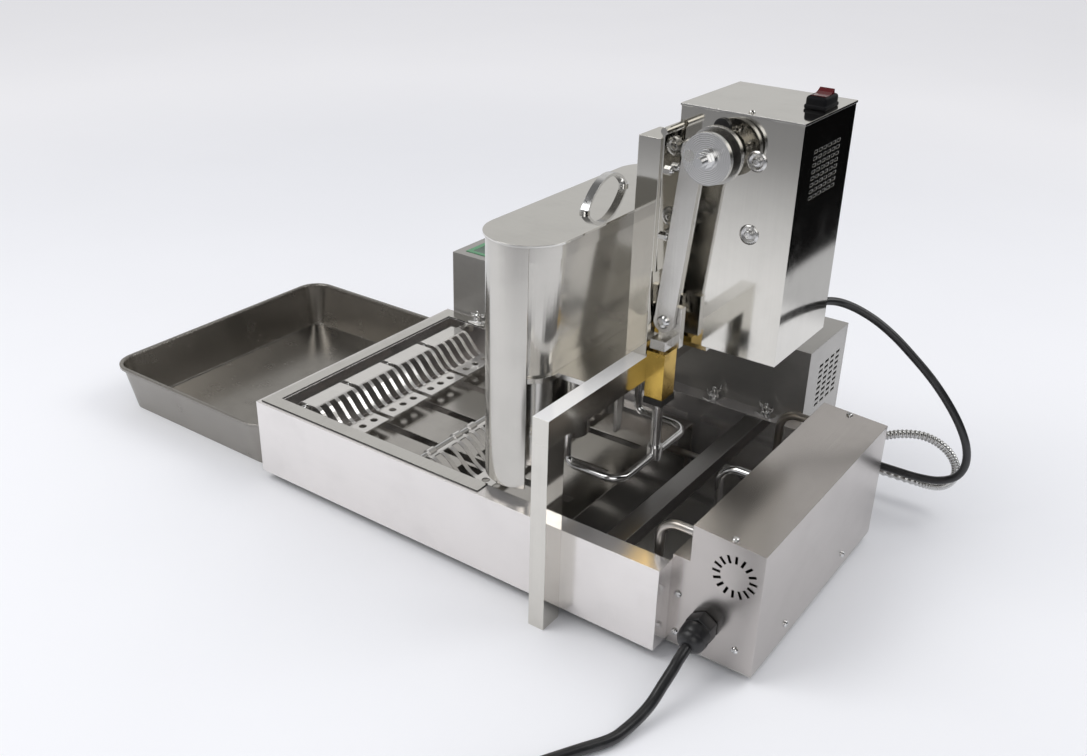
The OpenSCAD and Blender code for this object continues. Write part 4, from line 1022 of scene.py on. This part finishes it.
    def power_cord(self) -> None:
        """Lays the power cord from its gland over the floor into its tied coil, with its plug."""
        entry = self.coil_point(0.0)
        drop = [place(*p) for p in self.cord_drop]
        drop += [entry - k * self.heading(0.0) for k in (self.lead_in, 2 * self.cord_r)]
        steps = round(self.coil_turns * self.rings)
        coil = [self.coil_point(self.coil_turns * k / steps) for k in range(steps + 1)]
        tail = [coil[-1] + k * self.coil_lead * self.heading(self.coil_turns) for k in (0.25, 1.0)]
        points = catmull(drop, 4) + coil + tail
        piece = tube_curve("power_cord", points, self.cord_r * MM)
        ride(piece, RUBBER, "black_rubber", "cord_run", "cord_coil")
        end = self.heading(self.coil_turns).normalized()
        parts = self.plug(points[-1], end) + [self.tie()]
        path_length(points)

    def cable(self) -> None:
        """Hangs the drive box's cable in its arc to the control box."""
        points = catmull([place(*p) for p in self.cable_route], 5)
        piece = tube_curve("drive_box_cable", points, self.cable_r * MM)
        ride(piece, RUBBER, "black_rubber", "drive_cable")
        path_length(points)

    def conduit(self) -> None:
        """Winds the ribbed conduit from the heater box to the control box."""
        points = catmull([place(*p) for p in self.conduit_route], 24)
        foot, beat = self.conduit_r - self.rib, len(self.wave)
        radii = [(foot + self.rib * self.wave[i % beat]) * MM for i in range(len(points))]
        piece = rings_mesh("heater_conduit", points, radii, 20)
        ride(piece, CONDUIT_METAL, "conduit_metal", "conduit_hose")
        path_length(points)


@dataclass
class Fasteners:
    """Screws of the heater box and of the drive motor, with their recesses and washers."""

    head_r: float = 4.0
    socket_r: float = 5.0
    washer_r: float = 11.0
    drop_from: float = 300.0
    front: tuple[Point, ...] = ((610, 27.5, 76), (610, 27.5, 26), (680, 27.5, 36))
    side: tuple[Point, ...] = ((701, 107.5, 29), (701, 266.5, 29))
    lid: tuple[Pair, ...] = ((664, 34), (656, 352))
    motor: tuple[Point, ...] = (
        (488, 204, 413), (488, 204, 491), (566, 204, 413), (566, 204, 491))

    def pan(self, name: str) -> Piece:
        """Models a domed head with a cross recess."""
        r = self.head_r
        blades = [seat(Bench("blade").box((0.9, 1.25 * r, 3.0), 1.8).done(), (Vector(), UP, turn))
                  for turn in (20.0, 110.0)]
        head = Bench(name).turn([(r, -0.3), (r, 1.1), (0.88 * r, 2.0), (0.58 * r, 2.7), (0.22 * r, 2.95)], 24)
        for blade in blades:
            head.cut(blade)
        return head.done()

    def socket(self, name: str) -> Piece:
        """Models a button head with a hexagon socket, in a dished washer."""
        r = self.socket_r
        key = Bench("key").turn([(0.5 * r, 2.6), (0.5 * r, 8.0)], 6).done()
        head = Bench(name).turn([(r, 0.8), (r, 2.4), (0.93 * r, 3.3), (0.72 * r, 3.9), (0.62 * r, 4.0)], 28)
        body = head.cut(key).done()
        w = self.washer_r
        dish = [(w, -0.2), (w, 0.5), (0.9 * w, 1.5), (0.74 * w, 2.0), (0.62 * w, 1.5), (0.5 * w, 1.0)]
        return join([body, Bench(name + "_washer").turn(dish, 36).done()])

    def build(self, heater_box: Piece) -> None:
        """Sets the screws.

        Args:
            heater_box: The solid whose top carries two of them.
        """
        seats: list[Seat] = [(place(*p), NEAR, 15.0 * k) for k, p in enumerate(self.front)]
        seats += [(place(*p), EAST, 25.0 * k) for k, p in enumerate(self.side)]
        for k, (x, y) in enumerate(self.lid):
            found, hit, slope, _ = heater_box.ray_cast(place(x, y, self.drop_from), -UP)
            if found:
                seats.append((hit, slope, 40.0 * k))
        screws = repeat(self.pan("heater_box_screws"), seats)
        ride(screws, BRIGHT, "bright_bar", "heater_screws")
        seats = [(place(*p), NEAR, 20.0 * k) for k, p in enumerate(self.motor)]
        bolts = repeat(self.socket("motor_bolts"), seats)
        ride(bolts, WASHER, "bright_bar", "motor_screws")


@dataclass
class RimClamps:
    """Wing clamps that hold the deck and the bearings on the tank's far rim."""

    plate: Point = (26.0, 15.0, 2.4)
    spots: tuple[tuple[Point, float], ...] = (
        ((69, 373, 117.5), 15.0), ((466, 373, 116), 65.0), ((541, 373, 116), -20.0))

    def model(self) -> Piece:
        """Models one clamp: plate, stud and winged nut."""
        plate = Bench("rim_clamps").box(self.plate).soften(0.8).done()
        nut = Bench("nut").turn([
            (6.6, 2.4), (6.6, 6.0), (5.2, 7.0), (5.6, 8.0), (5.6, 12.0), (4.6, 13.2), (2.6, 13.4),
            (2.6, 17.0), (1.6, 17.8)], 24).done()
        wings = Bench("wings").box((20.0, 3.0, 5.0), 8.0)
        wings.pick(lambda spot, way: abs(way.x) > 0.9).extrude((0.0, 0.0, 5.0)).stretch((1.18, 0.7, 1.0))
        return join([plate, nut, wings.soften(0.9).done()])

    def build(self) -> None:
        """Sets the clamps on the rim."""
        piece = repeat(self.model(), [(place(*spot), UP, turn) for spot, turn in self.spots])
        ride(piece, BRIGHT, "bright_bar")


@dataclass
class SwitchBoot:
    """The rubber boot that seals the rocker switch on the drive box."""

    spot: Point = (595.0, 283.0, 537.0)
    size: Point = (24.0, 36.0, 13.0)
    opening: Point = (16.8, 28.0, 14.0)
    bed: float = 2.5
    flange: float = 4.6
    margin: float = 1.4

    def build(self) -> None:
        """Makes the domed boot on its flange, open over the rocker."""
        wide, deep, high = self.size
        tools = [Bench("opening").box(self.opening, self.bed).done() for _ in range(2)]
        flange = Bench("switch_flange").box((wide, deep, self.flange)).soften(1.6, 3).cut(tools[0]).done()
        boot = Bench("switch_boot").box((wide - self.margin, deep - self.margin, high), 0.2)
        body = boot.soften(3.4, 4).cut(tools[1]).done()
        piece = seat(join([body, flange]), (place(*self.spot), UP, 0.0))
        ride(piece, BOOT, "black_rubber", "switch_bezel")


@dataclass
class PanelFace:
    """The control box's panel: a green border, a dark field, a window and plain keys."""

    size: Point = (190.0, 93.0, 0.8)
    middle: Point = (121.0, 445.5, 212.0)
    border: float = 7.0
    window: Point = (74.0, 34.0, 0.9)
    window_at: float = -44.0
    lift: float = 0.3
    keys: tuple[Pair, ...] = tuple(
        (x, y) for y in (-20.0, 20.0) for x in (18.0, 42.0, 66.0))

    def build(self) -> None:
        """Makes the plate, its window and its keys."""
        x, y, z = self.middle
        bench = Bench("panel_plate").box(self.size)
        bench.pick(lambda spot, way: way.z > 0.9).inset(self.border).inset(0.6, -0.3)
        plate = bench.piece
        dress(plate, GREEN)
        plate.data.materials.append(PANEL_FIELD.material())
        plate.active_material_index = 1
        bpy.ops.object.material_slot_assign()
        ride(seat(bench.done(), (place(x, y, z), UP, 0.0)), None, "panel_green", "control_panel")
        bench = Bench("panel_window").box(self.window)
        bench.pick(lambda spot, way: way.z > 0.9).inset(3.0).inset(0.5, -0.3)
        window = seat(bench.soften(0.2).done(), (place(x + self.window_at, y, z + self.lift), UP, 0.0))
        ride(window, GLASS, "black_plastic")
        dished = [(7.0, 0.0), (7.0, 0.9), (6.2, 1.4), (5.2, 1.2), (2.0, 1.0)]
        key = Bench("panel_keys").turn(dished, 28).done()
        keys = repeat(key, [(place(x + dx, y + dy, z + self.lift), UP, 0.0) for dx, dy in self.keys])
        ride(keys, KEY, "black_plastic")


@dataclass
class Glands:
    """The power cord's gland on the heater box, the cables' fittings and the beam's end plug."""

    cord_spot: Point = (643.0, 27.5, 52.0)
    nose_spot: Point = (643.0, 11.5, 52.0)
    nose_way: Point = (0.0, -36.5, -11.0)
    plug_spot: Point = (469.0, 435.0, 247.0)
    plug_size: Point = (19.6, 29.6, 2.2)
    fittings: tuple[tuple[Point, Vector], ...] = (
        ((586, 438, 60), EAST), ((586, 472, 33), EAST), ((590, 339, 286), FAR), ((655, 359.5, 100), FAR))

    def cord_gland(self) -> None:
        """Makes the hexagon and the domed cap that tilts with the cord."""
        hexagon = [(15.6, -0.2), (17.0, 1.4), (17.0, 14.6), (15.6, 16.0)]
        nut = Bench("cord_gland_nut").turn(hexagon, 6).soften(0.6).done()
        cap = Bench("cap").turn([
            (14.0, -2.5), (16.4, -1.0), (16.4, 9.0), (15.8, 10.0), (15.8, 11.0), (16.0, 11.8), (15.2, 15.0),
            (13.2, 18.2), (10.4, 20.6), (8.0, 21.6), (6.6, 21.8)], 14)
        seat(cap.soften(0.5).done(), (place(*self.nose_spot), Vector(self.nose_way).normalized(), 0.0))
        seat(nut, (place(*self.cord_spot), NEAR, 0.0))
        piece = join([nut, cap.piece])
        ride(piece, PLASTIC, "black_plastic", "cord_gland")

    def cable_glands(self) -> None:
        """Makes the four fittings of the cable and the conduit."""
        hexagon = [(8.2, -0.2), (9.0, 0.8), (9.0, 6.4), (8.2, 7.2)]
        nut = Bench("cable_glands").turn(hexagon, 6).soften(0.4).done()
        dome = [(7.4, 7.0), (8.2, 7.6), (8.2, 11.4), (7.6, 13.2), (6.6, 14.6), (6.2, 15.0)]
        cap = Bench("cap").turn(dome, 18)
        model = join([nut, cap.soften(0.3).done()])
        piece = repeat(model, [(place(*spot), way, 10.0 * k) for k, (spot, way) in enumerate(self.fittings)])
        ride(piece, PLASTIC, "black_plastic", "cable_fittings")

    def beam_plug(self) -> None:
        """Makes the plastic plug in the beam's far end."""
        bench = Bench("beam_end_plug").box(self.plug_size, -0.1)
        bench.pick(lambda spot, way: way.z < -0.9).inset(2.0).extrude((0.0, 0.0, -8.0))
        piece = seat(bench.soften(0.5).done(), (place(*self.plug_spot), FAR, 0.0))
        ride(piece, PLASTIC, "black_plastic")

    def build(self) -> None:
        """Makes them all."""
        self.cord_gland()
        self.cable_glands()
        self.beam_plug()


def dress_solids(frame: dict[str, Any]) -> None:
    """Gives each solid that stays in view the finish of its slot or its own one.
    """
    for row in frame["record"]["subparts"]:
        node = row["node"]
        dress(frame["nodes"][node], NODE_FINISH.get(node, SLOT_FINISH[row["material_slot"]]))


def main() -> None:
    """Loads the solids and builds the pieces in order."""
    logging.basicConfig(level=logging.INFO, format="%(name)s: %(message)s")
    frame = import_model()
    Studio().build()
    dress_solids(frame)
    cords = Cords()
    cords.power_cord()
    cords.cable()
    cords.conduit()
    Glands().build()
    Fasteners().build(frame["nodes"]["heater_box"])
    RimClamps().build()
    SwitchBoot().build()
    PanelFace().build()


if __name__ == "__main__":
    main()
